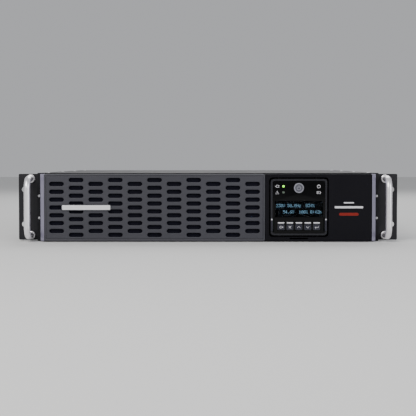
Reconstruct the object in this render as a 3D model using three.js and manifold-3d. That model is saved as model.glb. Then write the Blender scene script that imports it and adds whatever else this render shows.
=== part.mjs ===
// A two-unit rackmount uninterruptible power supply, as an assembly of separate pieces.
// Millimetres. +X is the right-hand side seen from the front, +Y runs to the rear, +Z is up.
// The pieces are placed along Y from the rack plane, which is the back face of the rack ears.
import * as THREE from "three";
import { mergeVertices } from "three/addons/utils/BufferGeometryUtils.js";
import Module from "manifold-3d";

const wasm = await Module();
wasm.setup();

// ---- Driving dimensions -------------------------------------------------------------------

const seam = 0.2; // between pieces that are screwed or clipped face to face
const slip = 0.4; // round a piece that slides or is pressed
const rackUnit = 44.45;

const chassis = { width: 433, height: 86.5, depth: 480, sheet: 1.2 };
// What the front carries is placed from the case's side: outside it (overhang, outset) or inside it.
// The bezel's gap is what is left of the case's height above and below it.
const ear = { overhang: 24.8, thickness: 2.5, edge: 1.2, legLength: 62 };
const earSlot = { outset: 16.05, pitch: rackUnit, length: 10.3, height: 6.8 };
const handle = { diameter: 8, pitch: 72, reach: 38, bend: 12, outset: 9 };
const frame = { depth: 7, bar: 2.6, side: 7.5 };
const bezel = { inset: 5.3, gap: 1.25, depth: 15, wall: 2.2, face: 2.5 };
const trim = { width: 5.2, bevel: 6 };
const vent = { length: 18.4, height: 5.2, pitchX: 24.6, pitchZ: 9.85, margin: 2.5 };
const badge = { width: 62, height: 7.4, thickness: 1.2, fromLeft: 22 };
const fasciaWidth = 133.7; // the black part of the bezel, without its end trim

const display = { size: 70.6, corner: 4, depth: 16.4, rim: 2.2, floor: 2, proud: 0.8 };
const pocket = { gap: 2, wall: 2, fromFascia: 4.6, rise: 0.5, rib: 6 };
const notch = { width: 22.8, height: 3, depth: 6 };
const lens = { thickness: 2, inset: 0.3 };
const screen = { width: 60, height: 22, thickness: 3.2, drop: 2.1 };
const board = { thickness: 1.6, margin: 1 };
const powerKey = { diameter: 13, rise: 24, length: 9.2, travel: 1.2 };
const softKey = { width: 8.8, height: 7.4, pitch: 11.15, drop: 25.2, length: 9.6 };
const latch = { width: 2.5, length: 16.2, drop: 22, depth: 12, travel: 1.2 };

const battery = { length: 151, width: 94, height: 65, terminal: 6, rows: 2, columns: 2 };
const tray = { sheet: 1.2, wall: 42, runner: 1.5, plate: 1.5, clearance: 0.8 };
const thumbscrew = { head: 11, headLength: 8, shank: 4, shankLength: 8 };
const pull = { width: 66, height: 18, depth: 10, bar: 4 };
const bayConnector = { width: 34, height: 16, length: 22 };

const fan = { size: 60, depth: 25, rim: 1.8, hub: 26, blades: 7, spoke: 4 };
const guard = { rings: 3, wire: 1.6, standoff: 2 };
const inlet = { width: 34, height: 28, depth: 30, lip: 2, cavityDepth: 22 };
const outlet = { pitchX: 33, pitchZ: 35, depth: 30, proud: 1.5, slotDepth: 15 };
const packPort = { width: 50, height: 18, depth: 32, proud: 6, wall: 2.6 };
const breaker = { body: 14, depth: 28, collar: 13, collarLength: 4, button: 8, buttonLength: 16 };
const ports = { width: 86, height: 24, depth: 18, proud: 0.6 };
const netCard = { width: 88, height: 34, depth: 110, face: 1.4 };
const stud = { diameter: 5, length: 10, nut: 10, nutLength: 4 };

const mainBoard = { width: 196, depth: 216, height: 8 };
const heatsink = { width: 34, depth: 100, height: 52, fins: 7, base: 4, fin: 1.6 };
const transformer = { width: 112, depth: 62, height: 70, leg: 38, window: 19, coil: 33 };

// ---- Places worked out from them ----------------------------------------------------------

const halfWidth = chassis.width / 2;
const midZ = chassis.height / 2;
const chassisFront = -ear.thickness;
const chassisBack = chassisFront + chassis.depth;
const panelFront = chassisBack - chassis.sheet; // the rear panel's inner face
const innerSide = halfWidth - chassis.sheet;
const ceiling = chassis.height - chassis.sheet;

const frameBack = chassisFront - seam;
const frameFront = frameBack - frame.depth;
const plateBack = frameFront - seam;
const plateFront = plateBack - tray.plate;
const coverBack = plateFront - seam;
const bezelFront = coverBack - bezel.depth;

const bezelRight = halfWidth - bezel.inset;
const bezelLeft = -bezelRight;
const bezelBottom = bezel.gap;
const bezelTop = chassis.height - bezel.gap;
const bezelHeight = bezelTop - bezelBottom;
const fasciaRight = bezelRight - trim.width - seam;
const fasciaLeft = fasciaRight - fasciaWidth;
const coverLeft = bezelLeft + trim.width + seam;
const coverRight = fasciaLeft - 3 * seam;

const batteryPitchX = battery.width + 2 * battery.terminal + tray.clearance / 2;
const packWidth = battery.columns * battery.width + 2 * battery.terminal + tray.clearance / 2;
const packLength = battery.rows * (battery.length + tray.clearance);
const bayLeft = -halfWidth + frame.side;
const trayLeft = bayLeft + tray.clearance / 2;
const trayRight = trayLeft + packWidth + 2 * (tray.sheet + tray.clearance / 2);
const bayRight = trayRight + tray.clearance / 2;
const trayFloor = chassis.sheet + tray.runner + seam; // underside of the tray
const trayFront = frameFront - seam / 2;
const trayBack = 4 + packLength + tray.clearance + tray.sheet;
const bayWall = bayRight + 1.5;
const bayBack = trayBack + bayConnector.length + 1;

const pocketSize = display.size + 2 * pocket.gap;
const displayX = fasciaLeft + pocket.fromFascia + pocketSize / 2;
const displayZ = midZ + pocket.rise;

const fanBore = fan.size / 2 - fan.rim; // its radius
const fanX = [innerSide - 4 - fan.size / 2, innerSide - 8 - 1.5 * fan.size];
const fanZ = midZ;
const cardX = fanX[1] - fan.size / 2 - 6 - netCard.width / 2;
const cardZ = ceiling - 8 - netCard.height / 2;
const portsZ = chassis.sheet + 8 + ports.height / 2;
const bankWidth = 2 * outlet.pitchX;
const bankHeight = 2 * outlet.pitchZ;
const bankX = [cardX - netCard.width / 2 - 6 - bankWidth / 2, 0];
bankX[1] = bankX[0] - bankWidth - 4;
const powerX = (bankX[1] - bankWidth / 2 - innerSide) / 2;
const inletZ = ceiling - 8 - inlet.height / 2;
const packPortZ = inletZ - inlet.height / 2 - 5 - packPort.height / 2;
const breakerX = [powerX - 14, powerX + 14];
const breakerZ = packPortZ - packPort.height / 2 - 4 - breaker.body / 2;
const studX = (fanX[0] + fanX[1]) / 2;
const studZ = chassis.sheet + 3 + stud.nut / 2;

const assemblyFront = chassisFront - seam - handle.reach;
const assemblyBack = chassisBack + stud.length;

// ---- Solids -------------------------------------------------------------------------------

// A closed three.js geometry as a manifold solid.
function solid(geometry) {
  const bare = geometry.index ? geometry.toNonIndexed() : geometry.clone();
  bare.deleteAttribute("normal");
  bare.deleteAttribute("uv");
  const merged = mergeVertices(bare, 1e-4);
  const vertProperties = merged.attributes.position.array;
  const triVerts = new Uint32Array(merged.index.array);
  return new wasm.Manifold(new wasm.Mesh({ numProp: 3, vertProperties, triVerts }));
}

// A manifold solid as a three.js geometry.
function geometryOf(body) {
  const mesh = body.getMesh();
  const place = new Float32Array(mesh.numVert * 3);
  for (let i = 0; i < mesh.numVert; i++) {
    const start = i * mesh.numProp;
    place.set(mesh.vertProperties.subarray(start, start + 3), i * 3);
  }
  const geometry = new THREE.BufferGeometry();
  geometry.setAttribute("position", new THREE.BufferAttribute(place, 3));
  geometry.setIndex(new THREE.BufferAttribute(new Uint32Array(mesh.triVerts), 1));
  const flat = geometry.toNonIndexed();
  flat.computeVertexNormals();
  return flat;
}

// A block between two limits on each axis.
function block(x, y, z) {
  const size = [x, y, z].map(([low, high]) => high - low);
  const box = new THREE.BoxGeometry(...size);
  box.translate((x[0] + x[1]) / 2, (y[0] + y[1]) / 2, (z[0] + z[1]) / 2);
  return solid(box);
}

// Limits of a stretch from its middle and its length.
function about(middle, length) {
  return [middle - length / 2, middle + length / 2];
}

// A flat outline in X and Z, made solid between two places along Y.
function slab(shape, [near, far], curveSegments = 3) {
  const depth = far - near;
  const geometry = new THREE.ExtrudeGeometry(shape, { depth, bevelEnabled: false, curveSegments });
  geometry.rotateX(Math.PI / 2);
  geometry.translate(0, far, 0);
  return solid(geometry);
}

// A rectangle with round corners, as an outline or as a hole.
function rounded(Kind, width, height, radius, x = 0, z = 0) {
  const shape = new Kind();
  const right = x + width / 2 - radius;
  const left = x - width / 2 + radius;
  const top = z + height / 2 - radius;
  const bottom = z - height / 2 + radius;
  shape.absarc(right, bottom, radius, -Math.PI / 2, 0, false);
  shape.absarc(right, top, radius, 0, Math.PI / 2, false);
  shape.absarc(left, top, radius, Math.PI / 2, Math.PI, false);
  shape.absarc(left, bottom, radius, Math.PI, 1.5 * Math.PI, false);
  shape.closePath();
  return shape;
}

// A slot with two round ends, as a hole in an outline.
function slotHole(length, height, x, z) {
  const hole = new THREE.Path();
  const reach = (length - height) / 2;
  hole.absarc(x + reach, z, height / 2, -Math.PI / 2, Math.PI / 2, false);
  hole.absarc(x - reach, z, height / 2, Math.PI / 2, 1.5 * Math.PI, false);
  hole.closePath();
  return hole;
}

// A cylinder along Y between two places.
function rod(radius, [near, far], x = 0, z = 0, sides = 16) {
  const geometry = new THREE.CylinderGeometry(radius, radius, far - near, sides);
  geometry.translate(x, (near + far) / 2, z);
  return solid(geometry);
}

function joined(...bodies) {
  return bodies.reduce((whole, body) => whole.add(body));
}

// ---- Materials ----------------------------------------------------------------------------

const paint = (color, roughness, metalness) =>
  new THREE.MeshStandardMaterial({ color, roughness, metalness });
const material = {
  blackSteel: paint(0x15161a, 0.55, 0.3),
  zincSteel: paint(0x9da0a4, 0.4, 0.9),
  charcoal: paint(0x3d3e47, 0.5, 0),
  gloss: paint(0x050506, 0.12, 0),
  satinBlack: paint(0x121116, 0.4, 0),
  silver: paint(0x8f8e9c, 0.35, 0.6),
  aluminium: paint(0xe8e6ea, 0.25, 1),
  screen: paint(0x0a1620, 0.1, 0),
  key: paint(0x2a2a34, 0.45, 0),
  pale: paint(0xc9c8cf, 0.4, 0),
  boardGreen: paint(0x1d5a34, 0.5, 0),
  batteryGrey: paint(0x4a4b50, 0.6, 0),
  copper: paint(0xa5602c, 0.4, 0.8),
  lamination: paint(0x4c4a48, 0.5, 0.7),
  nylon: paint(0x1a1a1c, 0.5, 0),
};

const assembly = new THREE.Group();

// Adds one named piece to a group.
function piece(name, body, surface, group = assembly) {
  const mesh = new THREE.Mesh(geometryOf(body), surface);
  mesh.name = name;
  group.add(mesh);
  return mesh;
}

// ---- Chassis ------------------------------------------------------------------------------

const sideVent = { count: 12, pitch: 9, width: 3.4, height: 34, front: 150, rise: 12 };

function chassisBase() {
  const length = [chassisFront, chassisBack];
  const low = ceiling - seam;
  let body = block(about(0, chassis.width), length, [0, low]);
  body = body.subtract(
    block(about(0, 2 * innerSide), [length[0] - 1, length[1] + 1], [chassis.sheet, low + 1]),
  );
  // Four pressed runners carry the battery tray.
  for (const x of [trayLeft + 14, (trayLeft + trayRight) / 2, trayRight - 14]) {
    body = body.add(
      block(about(x, 8), [chassisFront + 4, trayBack], [chassis.sheet - 0.1, trayFloor - seam]),
    );
  }
  const middle = midZ - sideVent.rise;
  for (let i = 0; i < sideVent.count; i++) {
    const y = sideVent.front + i * sideVent.pitch;
    const cut = [about(y, sideVent.width), about(middle + sideVent.rise, sideVent.height)];
    body = body.subtract(block(about(0, chassis.width + 2), ...cut));
  }
  return body;
}

const topVent = { count: 10, pitch: 8, width: 4, length: 60, back: 110, inset: 90 };

function topCover() {
  const length = [chassisFront, chassisBack];
  const lip = 10;
  let body = block(about(0, chassis.width), length, [ceiling, chassis.height]);
  for (const side of [-1, 1]) {
    const outer = side * (innerSide - seam);
    const inner = side * (innerSide - seam - chassis.sheet);
    const across = [Math.min(outer, inner), Math.max(outer, inner)];
    const along = [length[0] + 1, panelFront - 1];
    body = body.add(block(across, along, [ceiling - lip, ceiling + 0.1]));
  }
  const x = innerSide - topVent.inset;
  for (let i = 0; i < topVent.count; i++) {
    const y = chassisBack - topVent.back - i * topVent.pitch;
    const across = about(x, topVent.length);
    body = body.subtract(
      block(across, about(y, topVent.width), [ceiling - 1, chassis.height + 1]),
    );
  }
  return body;
}

function rearPanel() {
  const width = 2 * (innerSide - seam);
  const low = chassis.sheet + seam;
  const high = ceiling - seam;
  const shape = rounded(THREE.Shape, width, high - low, 1, 0, (low + high) / 2);
  const cut = (w, h, x, z) =>
    shape.holes.push(rounded(THREE.Path, w + 2 * seam, h + 2 * seam, seam, x, z));
  const through = [panelFront - 1, chassisBack + 1];
  const bores = fanX.map((x) => rod(fanBore, through, x, fanZ, 32));
  for (const x of breakerX) bores.push(rod(breaker.collar / 2 + seam, through, x, breakerZ, 16));
  bores.push(rod(stud.diameter / 2 + seam, through, studX, studZ, 12));
  for (const x of bankX) cut(bankWidth, bankHeight, x, midZ);
  cut(inlet.width, inlet.height, powerX, inletZ);
  cut(packPort.width, packPort.height, powerX, packPortZ);
  cut(netCard.width - 8, netCard.height - 8, cardX, cardZ);
  cut(ports.width, ports.height, cardX, portsZ);
  return slab(shape, [panelFront, chassisBack], 1).subtract(joined(...bores));
}

function frontFrame() {
  const shape = rounded(THREE.Shape, chassis.width, chassis.height, 1, 0, midZ);
  const opening = (left, right, low, high) =>
    shape.holes.push(
      rounded(THREE.Path, right - left, high - low, 1, (left + right) / 2, (low + high) / 2),
    );
  opening(bayLeft, bayRight, frame.bar, chassis.height - frame.bar);
  opening(bayRight + 8, coverRight - 4, 8, chassis.height - 8);
  opening(displayX - 12, displayX + 12, displayZ - 10, displayZ + 10);
  const body = slab(shape, [frameFront, frameBack], 1);
  // Two blind holes take the tray's thumbscrews.
  const holes = thumbscrewPlaces.map(([x, z]) =>
    rod(thumbscrew.shank / 2 + slip, [frameFront - 1, frameBack + 1], x, z, 10),
  );
  return body.subtract(joined(...holes));
}

const thumbscrewPlaces = [
  [bayRight + 4, chassis.height - 16],
  [bayRight + 4, 16],
];

function rackEar(side) {
  const inner = halfWidth + 0.1;
  const outer = halfWidth + ear.overhang;
  const low = ear.edge;
  const high = chassis.height - ear.edge;
  const middle = side * (inner + outer) * 0.5;
  const shape = rounded(THREE.Shape, outer - inner, high - low, 1.2, middle, midZ);
  for (const end of [-1, 1]) {
    const z = midZ + (end * earSlot.pitch) / 2;
    shape.holes.push(slotHole(earSlot.length, earSlot.height, side * (halfWidth + earSlot.outset), z));
  }
  const flange = slab(shape, [chassisFront, 0], 3);
  const faces = [side * inner, side * (inner + ear.thickness)].sort((a, b) => a - b);
  return flange.add(block(faces, [chassisFront, ear.legLength], [low + 4, high - 4]));
}

// A bar bent twice, its two legs standing on the ear.
function pullHandle(side) {
  const x = side * (halfWidth + handle.outset);
  const foot = chassisFront - seam;
  const front = foot - handle.reach + handle.diameter / 2;
  const half = handle.pitch / 2;
  const at = (y, z) => new THREE.Vector3(x, y, midZ + z);
  const path = new THREE.CurvePath();
  path.add(new THREE.LineCurve3(at(foot, half), at(front + handle.bend, half)));
  const top = [at(front + handle.bend, half), at(front, half), at(front, half - handle.bend)];
  path.add(new THREE.QuadraticBezierCurve3(...top));
  path.add(new THREE.LineCurve3(at(front, half - handle.bend), at(front, handle.bend - half)));
  const low = [at(front, handle.bend - half), at(front, -half), at(front + handle.bend, -half)];
  path.add(new THREE.QuadraticBezierCurve3(...low));
  path.add(new THREE.LineCurve3(at(front + handle.bend, -half), at(foot, -half)));
  const section = new THREE.Shape();
  section.absarc(0, 0, handle.diameter / 2, 0, 2 * Math.PI, false);
  const made = { steps: 36, extrudePath: path, bevelEnabled: false, curveSegments: 5 };
  return solid(new THREE.ExtrudeGeometry(section, made));
}

piece("chassis_base", chassisBase(), material.blackSteel);
piece("top_cover", topCover(), material.blackSteel);
piece("rear_panel", rearPanel(), material.blackSteel);
piece("front_frame", frontFrame(), material.nylon);
for (const [word, side] of [["left", -1], ["right", 1]]) {
  piece(`${word}_ear`, rackEar(side), material.blackSteel);
  piece(`${word}_handle`, pullHandle(side), material.aluminium);
}

// ---- Grille cover -------------------------------------------------------------------------

// A bar with a bevelled front corner, which finishes one end of the bezel.
function endTrim(side) {
  const outer = bezelRight;
  const inner = outer - trim.width;
  const back = side < 0 ? coverBack : plateBack;
  const shape = new THREE.Shape();
  shape.moveTo(side * inner, -bezelFront);
  shape.lineTo(side * outer, -(bezelFront + trim.bevel));
  shape.lineTo(side * outer, -back);
  shape.lineTo(side * inner, -back);
  shape.closePath();
  const geometry = new THREE.ExtrudeGeometry(shape, { depth: bezelHeight, bevelEnabled: false });
  // The outline is drawn in X and minus Y, so a half turn about X would turn it over.
  geometry.scale(1, -1, 1);
  geometry.index = null;
  const flipped = reversed(geometry);
  flipped.translate(0, 0, bezelBottom);
  return solid(flipped);
}

// Turns each triangle round, which a mirrored geometry needs.
function reversed(geometry) {
  const p = geometry.getAttribute("position");
  for (let i = 0; i < p.count; i += 3) {
    const [x, y, z] = [p.getX(i), p.getY(i), p.getZ(i)];
    p.setXYZ(i, p.getX(i + 1), p.getY(i + 1), p.getZ(i + 1));
    p.setXYZ(i + 1, x, y, z);
  }
  return geometry;
}

// A rectangular ring between two places along Y.
function ring(left, right, wall, along) {
  const width = right - left;
  const middle = (left + right) / 2;
  const shape = rounded(THREE.Shape, width, bezelHeight, 1.5, middle, midZ);
  const inside = [width - 2 * wall, bezelHeight - 2 * wall];
  shape.holes.push(rounded(THREE.Path, ...inside, 0.8, middle, midZ));
  return slab(shape, along, 1);
}

// The perforated front: columns of slots, every second one with a slot more.
function grillePanel() {
  const width = coverRight - coverLeft - 2 * (bezel.wall + seam);
  const height = bezelHeight - 2 * (bezel.wall + seam);
  const middle = (coverLeft + coverRight) / 2;
  const shape = rounded(THREE.Shape, width, height, 0.8, middle, midZ);
  const columns = Math.floor((width - 2 * vent.margin - vent.length) / vent.pitchX) + 1;
  const rows = Math.floor((height - 2 * vent.margin - vent.height) / vent.pitchZ) + 1;
  for (let i = 0; i < columns; i++) {
    const count = i % 2 ? rows : rows - 1;
    for (let j = 0; j < count; j++) {
      const x = middle + (i - (columns - 1) / 2) * vent.pitchX;
      const z = midZ + (j - (count - 1) / 2) * vent.pitchZ;
      shape.holes.push(slotHole(vent.length, vent.height, x, z));
    }
  }
  return slab(shape, [bezelFront, bezelFront + bezel.face], 2);
}

function badgePlate() {
  const x = coverLeft + badge.fromLeft + badge.width / 2;
  const shape = rounded(THREE.Shape, badge.width, badge.height, 1.5, x, midZ);
  return slab(shape, [bezelFront - seam / 2 - badge.thickness, bezelFront - seam / 2], 2);
}

piece("cover_frame", ring(coverLeft, coverRight, bezel.wall, [bezelFront, coverBack]), material.charcoal);
piece("grille_panel", grillePanel(), material.charcoal);
piece("badge_plate", badgePlate(), material.aluminium);
piece("left_end_trim", endTrim(-1), material.silver);
piece("right_end_trim", endTrim(1), material.silver);

// ---- Display fascia and its pocket ---------------------------------------------------------

function displayFascia() {
  const width = fasciaRight - fasciaLeft;
  const middle = (fasciaLeft + fasciaRight) / 2;
  const shape = rounded(THREE.Shape, width, bezelHeight, 1.5, middle, midZ);
  shape.holes.push(rounded(THREE.Path, pocketSize, pocketSize, display.corner, displayX, displayZ));
  const face = slab(shape, [bezelFront, bezelFront + bezel.face]);
  const rim = ring(fasciaLeft, fasciaRight, bezel.wall, [bezelFront, plateBack]);
  const outer = pocketSize + 2 * pocket.wall;
  const sleeve = rounded(THREE.Shape, outer, outer, display.corner + 1, displayX, displayZ);
  sleeve.holes.push(
    rounded(THREE.Path, pocketSize, pocketSize, display.corner, displayX, displayZ),
  );
  let body = joined(face, rim, slab(sleeve, [bezelFront, plateBack]));
  // Ribs guide the module on its four sides; they start behind the face, so the gap shows.
  const reach = display.size / 2 + slip / 2;
  const along = [bezelFront + pocket.rib, plateBack];
  for (const side of [-1, 1]) {
    const wall = [reach, pocketSize / 2 + 0.1].map((v) => side * v).sort((a, b) => a - b);
    const across = wall.map((v) => v + displayX);
    const height = wall.map((v) => v + displayZ);
    for (const z of [-4, 26]) body = body.add(block(across, along, about(displayZ + z, 3)));
    for (const x of [-24, 24]) body = body.add(block(about(displayX + x, 3), along, height));
  }
  const low = displayZ - pocketSize / 2;
  const finger = [low - notch.height, low + 1];
  return body.subtract(
    block(about(displayX, notch.width), [bezelFront - 1, bezelFront + notch.depth], finger),
  );
}

piece("display_fascia", displayFascia(), material.satinBlack);

// ---- Display module, in its own frame at its middle ----------------------------------------

const moduleGroup = new THREE.Group();
moduleGroup.position.set(displayX, bezelFront - display.proud, displayZ);
assembly.add(moduleGroup);

const keyNames = ["mute_key", "escape_key", "up_key", "down_key", "enter_key"];
const keyX = (i) => (i - (keyNames.length - 1) / 2) * softKey.pitch;
const inside = display.size - 2 * display.rim;
const housingFloor = display.depth - display.floor;
const boardFront = housingFloor - seam - board.thickness;

// Room for one side latch, cut from the outer side.
function latchRoom(side, extra) {
  const outer = side * (display.size / 2 + 1);
  const inner = side * (display.size / 2 - latch.width - latch.travel - extra);
  const across = [outer, inner].sort((a, b) => a - b);
  const depth = [-1, latch.depth + slip];
  return block(across, depth, about(-latch.drop, latch.length + 2 * slip));
}

function displayHousing() {
  const shape = rounded(THREE.Shape, display.size, display.size, display.corner);
  const hollow = rounded(THREE.Shape, inside, inside, display.corner - 1.5);
  let body = slab(shape, [0, display.depth]);
  body = body.subtract(slab(hollow, [-1, housingFloor]));
  for (const side of [-1, 1]) body = body.subtract(latchRoom(side, 0));
  return body.subtract(block(about(0, 20), [0, display.depth + 1], about(4, 3)));
}

function displayLens() {
  const size = inside - 2 * lens.inset;
  const shape = rounded(THREE.Shape, size, size, display.corner - 1.8);
  keyNames.forEach((name, i) => {
    const room = [softKey.width + 2 * slip, softKey.height + 2 * slip];
    shape.holes.push(rounded(THREE.Path, ...room, 1.4, keyX(i), -softKey.drop));
  });
  let body = slab(shape, [lens.inset, lens.inset + lens.thickness], 1);
  body = body.subtract(rod(powerKey.diameter / 2 + slip, [-1, 9], 0, powerKey.rise, 20));
  for (const side of [-1, 1]) body = body.subtract(latchRoom(side, lens.inset));
  return body;
}

function displayBoard() {
  const size = inside - 2 * board.margin;
  const shape = rounded(THREE.Shape, size, size, 1);
  let body = slab(shape, [boardFront, boardFront + board.thickness]);
  for (const side of [-1, 1]) body = body.subtract(latchRoom(side, board.margin));
  return body;
}

function lcdPanel() {
  const front = lens.inset + lens.thickness + seam;
  const across = about(0, screen.width);
  return block(across, [front, front + screen.thickness], about(-screen.drop, screen.height));
}

function powerButton() {
  const cap = rod(powerKey.diameter / 2, [0, 3], 0, powerKey.rise, 20);
  return cap.add(rod(2.5, [2.9, powerKey.length], 0, powerKey.rise, 10));
}

function softKeyBody(x) {
  const shape = rounded(THREE.Shape, softKey.width, softKey.height, 1.2, x, -softKey.drop);
  return slab(shape, [0.1, softKey.length], 1);
}

function sideLatch(side) {
  const outer = side * (display.size / 2 - 0.1);
  const inner = side * (display.size / 2 - 0.1 - latch.width);
  const across = [outer, inner].sort((a, b) => a - b);
  return block(across, [0.2, latch.depth], about(-latch.drop, latch.length));
}

piece("display_housing", displayHousing(), material.satinBlack, moduleGroup);
piece("display_lens", displayLens(), material.gloss, moduleGroup);
piece("lcd_panel", lcdPanel(), material.screen, moduleGroup);
piece("display_board", displayBoard(), material.boardGreen, moduleGroup);
piece("power_button", powerButton(), material.pale, moduleGroup);
keyNames.forEach((name, i) => piece(name, softKeyBody(keyX(i)), material.key, moduleGroup));
piece("left_latch", sideLatch(-1), material.key, moduleGroup);
piece("right_latch", sideLatch(1), material.key, moduleGroup);

// ---- Battery tray --------------------------------------------------------------------------

function batteryTray() {
  const across = [trayLeft, trayRight];
  const floor = [trayFloor, trayFloor + tray.sheet];
  const wall = [trayFloor, trayFloor + tray.wall];
  const tall = [trayFloor, chassis.height - frame.bar - tray.clearance];
  return joined(
    block(across, [trayFront, trayBack], floor),
    block([trayLeft, trayLeft + tray.sheet], [trayFront, trayBack], wall),
    block([trayRight - tray.sheet, trayRight], [trayFront, trayBack], wall),
    block(across, [trayFront, trayFront + tray.sheet], tall),
    block(across, [trayBack - tray.sheet, trayBack], wall),
  );
}

// The drawer's front plate, which also carries the grille cover; air passes its right part.
function trayFrontPlate() {
  const width = coverRight - bezelLeft;
  const middle = (coverRight + bezelLeft) / 2;
  const shape = rounded(THREE.Shape, width, bezelHeight, 1.5, middle, midZ);
  const first = thumbscrewPlaces[0][0] + thumbscrew.head / 2 + 5;
  const count = Math.floor((coverRight - 6 - first) / 9);
  for (let i = 0; i < count; i++) {
    shape.holes.push(rounded(THREE.Path, 5, bezelHeight - 24, 1.5, first + 4 + i * 9, midZ));
  }
  const holes = thumbscrewPlaces.map(([x, z]) =>
    rod(thumbscrew.shank / 2 + slip, [plateFront - 1, plateBack + 1], x, z, 10),
  );
  return slab(shape, [plateFront, plateBack], 1).subtract(joined(...holes));
}

function batteryBlock(column, row) {
  const left = trayLeft + tray.sheet + tray.clearance / 2 + column * batteryPitchX;
  const near = 4 + row * (battery.length + tray.clearance);
  const low = trayFloor + tray.sheet + seam;
  const across = [left, left + battery.width];
  const body = block(across, [near, near + battery.length], [low, low + battery.height]);
  const inner = column ? [left - 5, left + 1] : [across[1] - 1, across[1] + 5];
  const tab = (z) => block(inner, about(near + 12, 1.2), about(z, 6.4));
  return joined(body, tab(low + 12), tab(low + battery.height - 12));
}

function trayPull() {
  const middle = (trayLeft + trayRight) / 2;
  const across = about(middle, pull.width);
  const along = [plateFront - seam - pull.depth, plateFront - seam];
  const grip = about(midZ, pull.height);
  const body = block(across, along, grip);
  const room = [along[0] + pull.bar * 0.6, along[1] + 1];
  return body.subtract(block(about(middle, pull.width - 2 * pull.bar), room, about(midZ, 99)));
}

function thumbscrewBody([x, z]) {
  const face = plateFront - seam;
  const head = rod(thumbscrew.head / 2, [face - thumbscrew.headLength, face], x, z, 14);
  const shank = [face - 0.1, face + thumbscrew.shankLength];
  return head.add(rod(thumbscrew.shank / 2, shank, x, z, 8));
}

function bayPlug(near) {
  const middle = (trayLeft + trayRight) / 2;
  const along = [near, near + bayConnector.length / 2 - seam];
  const z = trayFloor + tray.wall - bayConnector.height / 2 - 4;
  return block(about(middle, bayConnector.width), along, about(z, bayConnector.height));
}

piece("battery_tray", batteryTray(), material.zincSteel);
piece("tray_front_plate", trayFrontPlate(), material.blackSteel);
for (let row = 0; row < battery.rows; row++) {
  for (let column = 0; column < battery.columns; column++) {
    const name = `battery_${row * battery.columns + column + 1}`;
    piece(name, batteryBlock(column, row), material.batteryGrey);
  }
}
piece("tray_pull", trayPull(), material.nylon);
thumbscrewPlaces.forEach((place, i) =>
  piece(`thumbscrew_${["upper", "lower"][i]}`, thumbscrewBody(place), material.zincSteel),
);
piece("tray_connector", bayPlug(trayBack + seam), material.nylon);

// ---- Inside the chassis --------------------------------------------------------------------

function bayWallSheet() {
  const height = [chassis.sheet + seam, ceiling - 12];
  const side = block([bayWall, bayWall + chassis.sheet], [4, bayBack + chassis.sheet], height);
  const across = [-innerSide + 2, bayWall + 0.5];
  return side.add(block(across, [bayBack, bayBack + chassis.sheet], height));
}

const electronicsLeft = bayWall + chassis.sheet + 4;
const boardBack = panelFront - fan.depth - 8;

function mainBoardAssembly() {
  const x = [electronicsLeft + 2, electronicsLeft + 2 + mainBoard.width];
  const y = [boardBack - mainBoard.depth, boardBack];
  const top = mainBoard.height + board.thickness;
  let body = block(x, y, [mainBoard.height, top]);
  const relays = 4;
  for (let i = 0; i < relays; i++) {
    body = body.add(block(about(x[0] + 16, 18), about(y[1] - 20 - i * 26, 22), [top - 0.1, top + 18]));
  }
  const capacitors = 4;
  for (let i = 0; i < capacitors; i++) {
    const can = new THREE.CylinderGeometry(12, 12, 40.1, 14);
    can.rotateX(Math.PI / 2);
    can.translate(x[1] - 16, y[0] + 20 + i * 28, top + 20);
    body = body.add(solid(can));
  }
  return body;
}

function finnedHeatsink(column) {
  const left = electronicsLeft + 44 + column * (heatsink.width + 20);
  const near = boardBack - mainBoard.depth + 30;
  const low = mainBoard.height + board.thickness + seam;
  const along = [near, near + heatsink.depth];
  let body = block([left, left + heatsink.base], along, [low, low + heatsink.height]);
  for (let i = 0; i < heatsink.fins; i++) {
    const z = low + (i * (heatsink.height - heatsink.fin)) / (heatsink.fins - 1);
    body = body.add(block([left + 1, left + heatsink.width], along, [z, z + heatsink.fin]));
  }
  return body;
}

const coreX = electronicsLeft + 8 + transformer.width / 2 + 20;
const coreY = 78;
const coreZ = chassis.sheet + 3 + transformer.height / 2;
const windowX = transformer.leg / 2 + transformer.window / 2;

function transformerCore() {
  let body = block(
    about(coreX, transformer.width),
    about(coreY, transformer.depth),
    about(coreZ, transformer.height),
  );
  for (const side of [-1, 1]) {
    const across = about(coreX + side * windowX, transformer.window);
    const along = about(coreY, transformer.depth + 2);
    body = body.subtract(block(across, along, about(coreZ, transformer.coil + 2 * slip)));
  }
  // Two feet rest on the chassis.
  const foot = [chassis.sheet + seam, coreZ - transformer.height / 2 + 0.1];
  for (const side of [-1, 1]) {
    const across = about(coreX + side * (transformer.width / 2 - 8), 14);
    body = body.add(block(across, about(coreY, transformer.depth), foot));
  }
  return body;
}

function transformerCoil() {
  const reach = transformer.window - 2 * slip;
  const inner = [transformer.leg + 2 * slip, transformer.depth + 2 * slip];
  const outer = inner.map((v) => v + 2 * reach);
  const height = about(coreZ, transformer.coil);
  const body = block(about(coreX, outer[0]), about(coreY, outer[1]), height);
  const room = about(coreZ, transformer.coil + 2);
  return body.subtract(block(about(coreX, inner[0]), about(coreY, inner[1]), room));
}

piece("battery_bay_wall", bayWallSheet(), material.zincSteel);
const chassisPlug = bayBack - seam - bayConnector.length / 2 + seam;
piece("bay_connector", bayPlug(chassisPlug), material.nylon);
piece("main_board", mainBoardAssembly(), material.boardGreen);
piece("heatsink_1", finnedHeatsink(0), material.zincSteel);
piece("heatsink_2", finnedHeatsink(1), material.zincSteel);
piece("transformer_core", transformerCore(), material.lamination);
piece("transformer_coil", transformerCoil(), material.copper);

// ---- Fans, each in its own frame at its middle ---------------------------------------------

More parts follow.
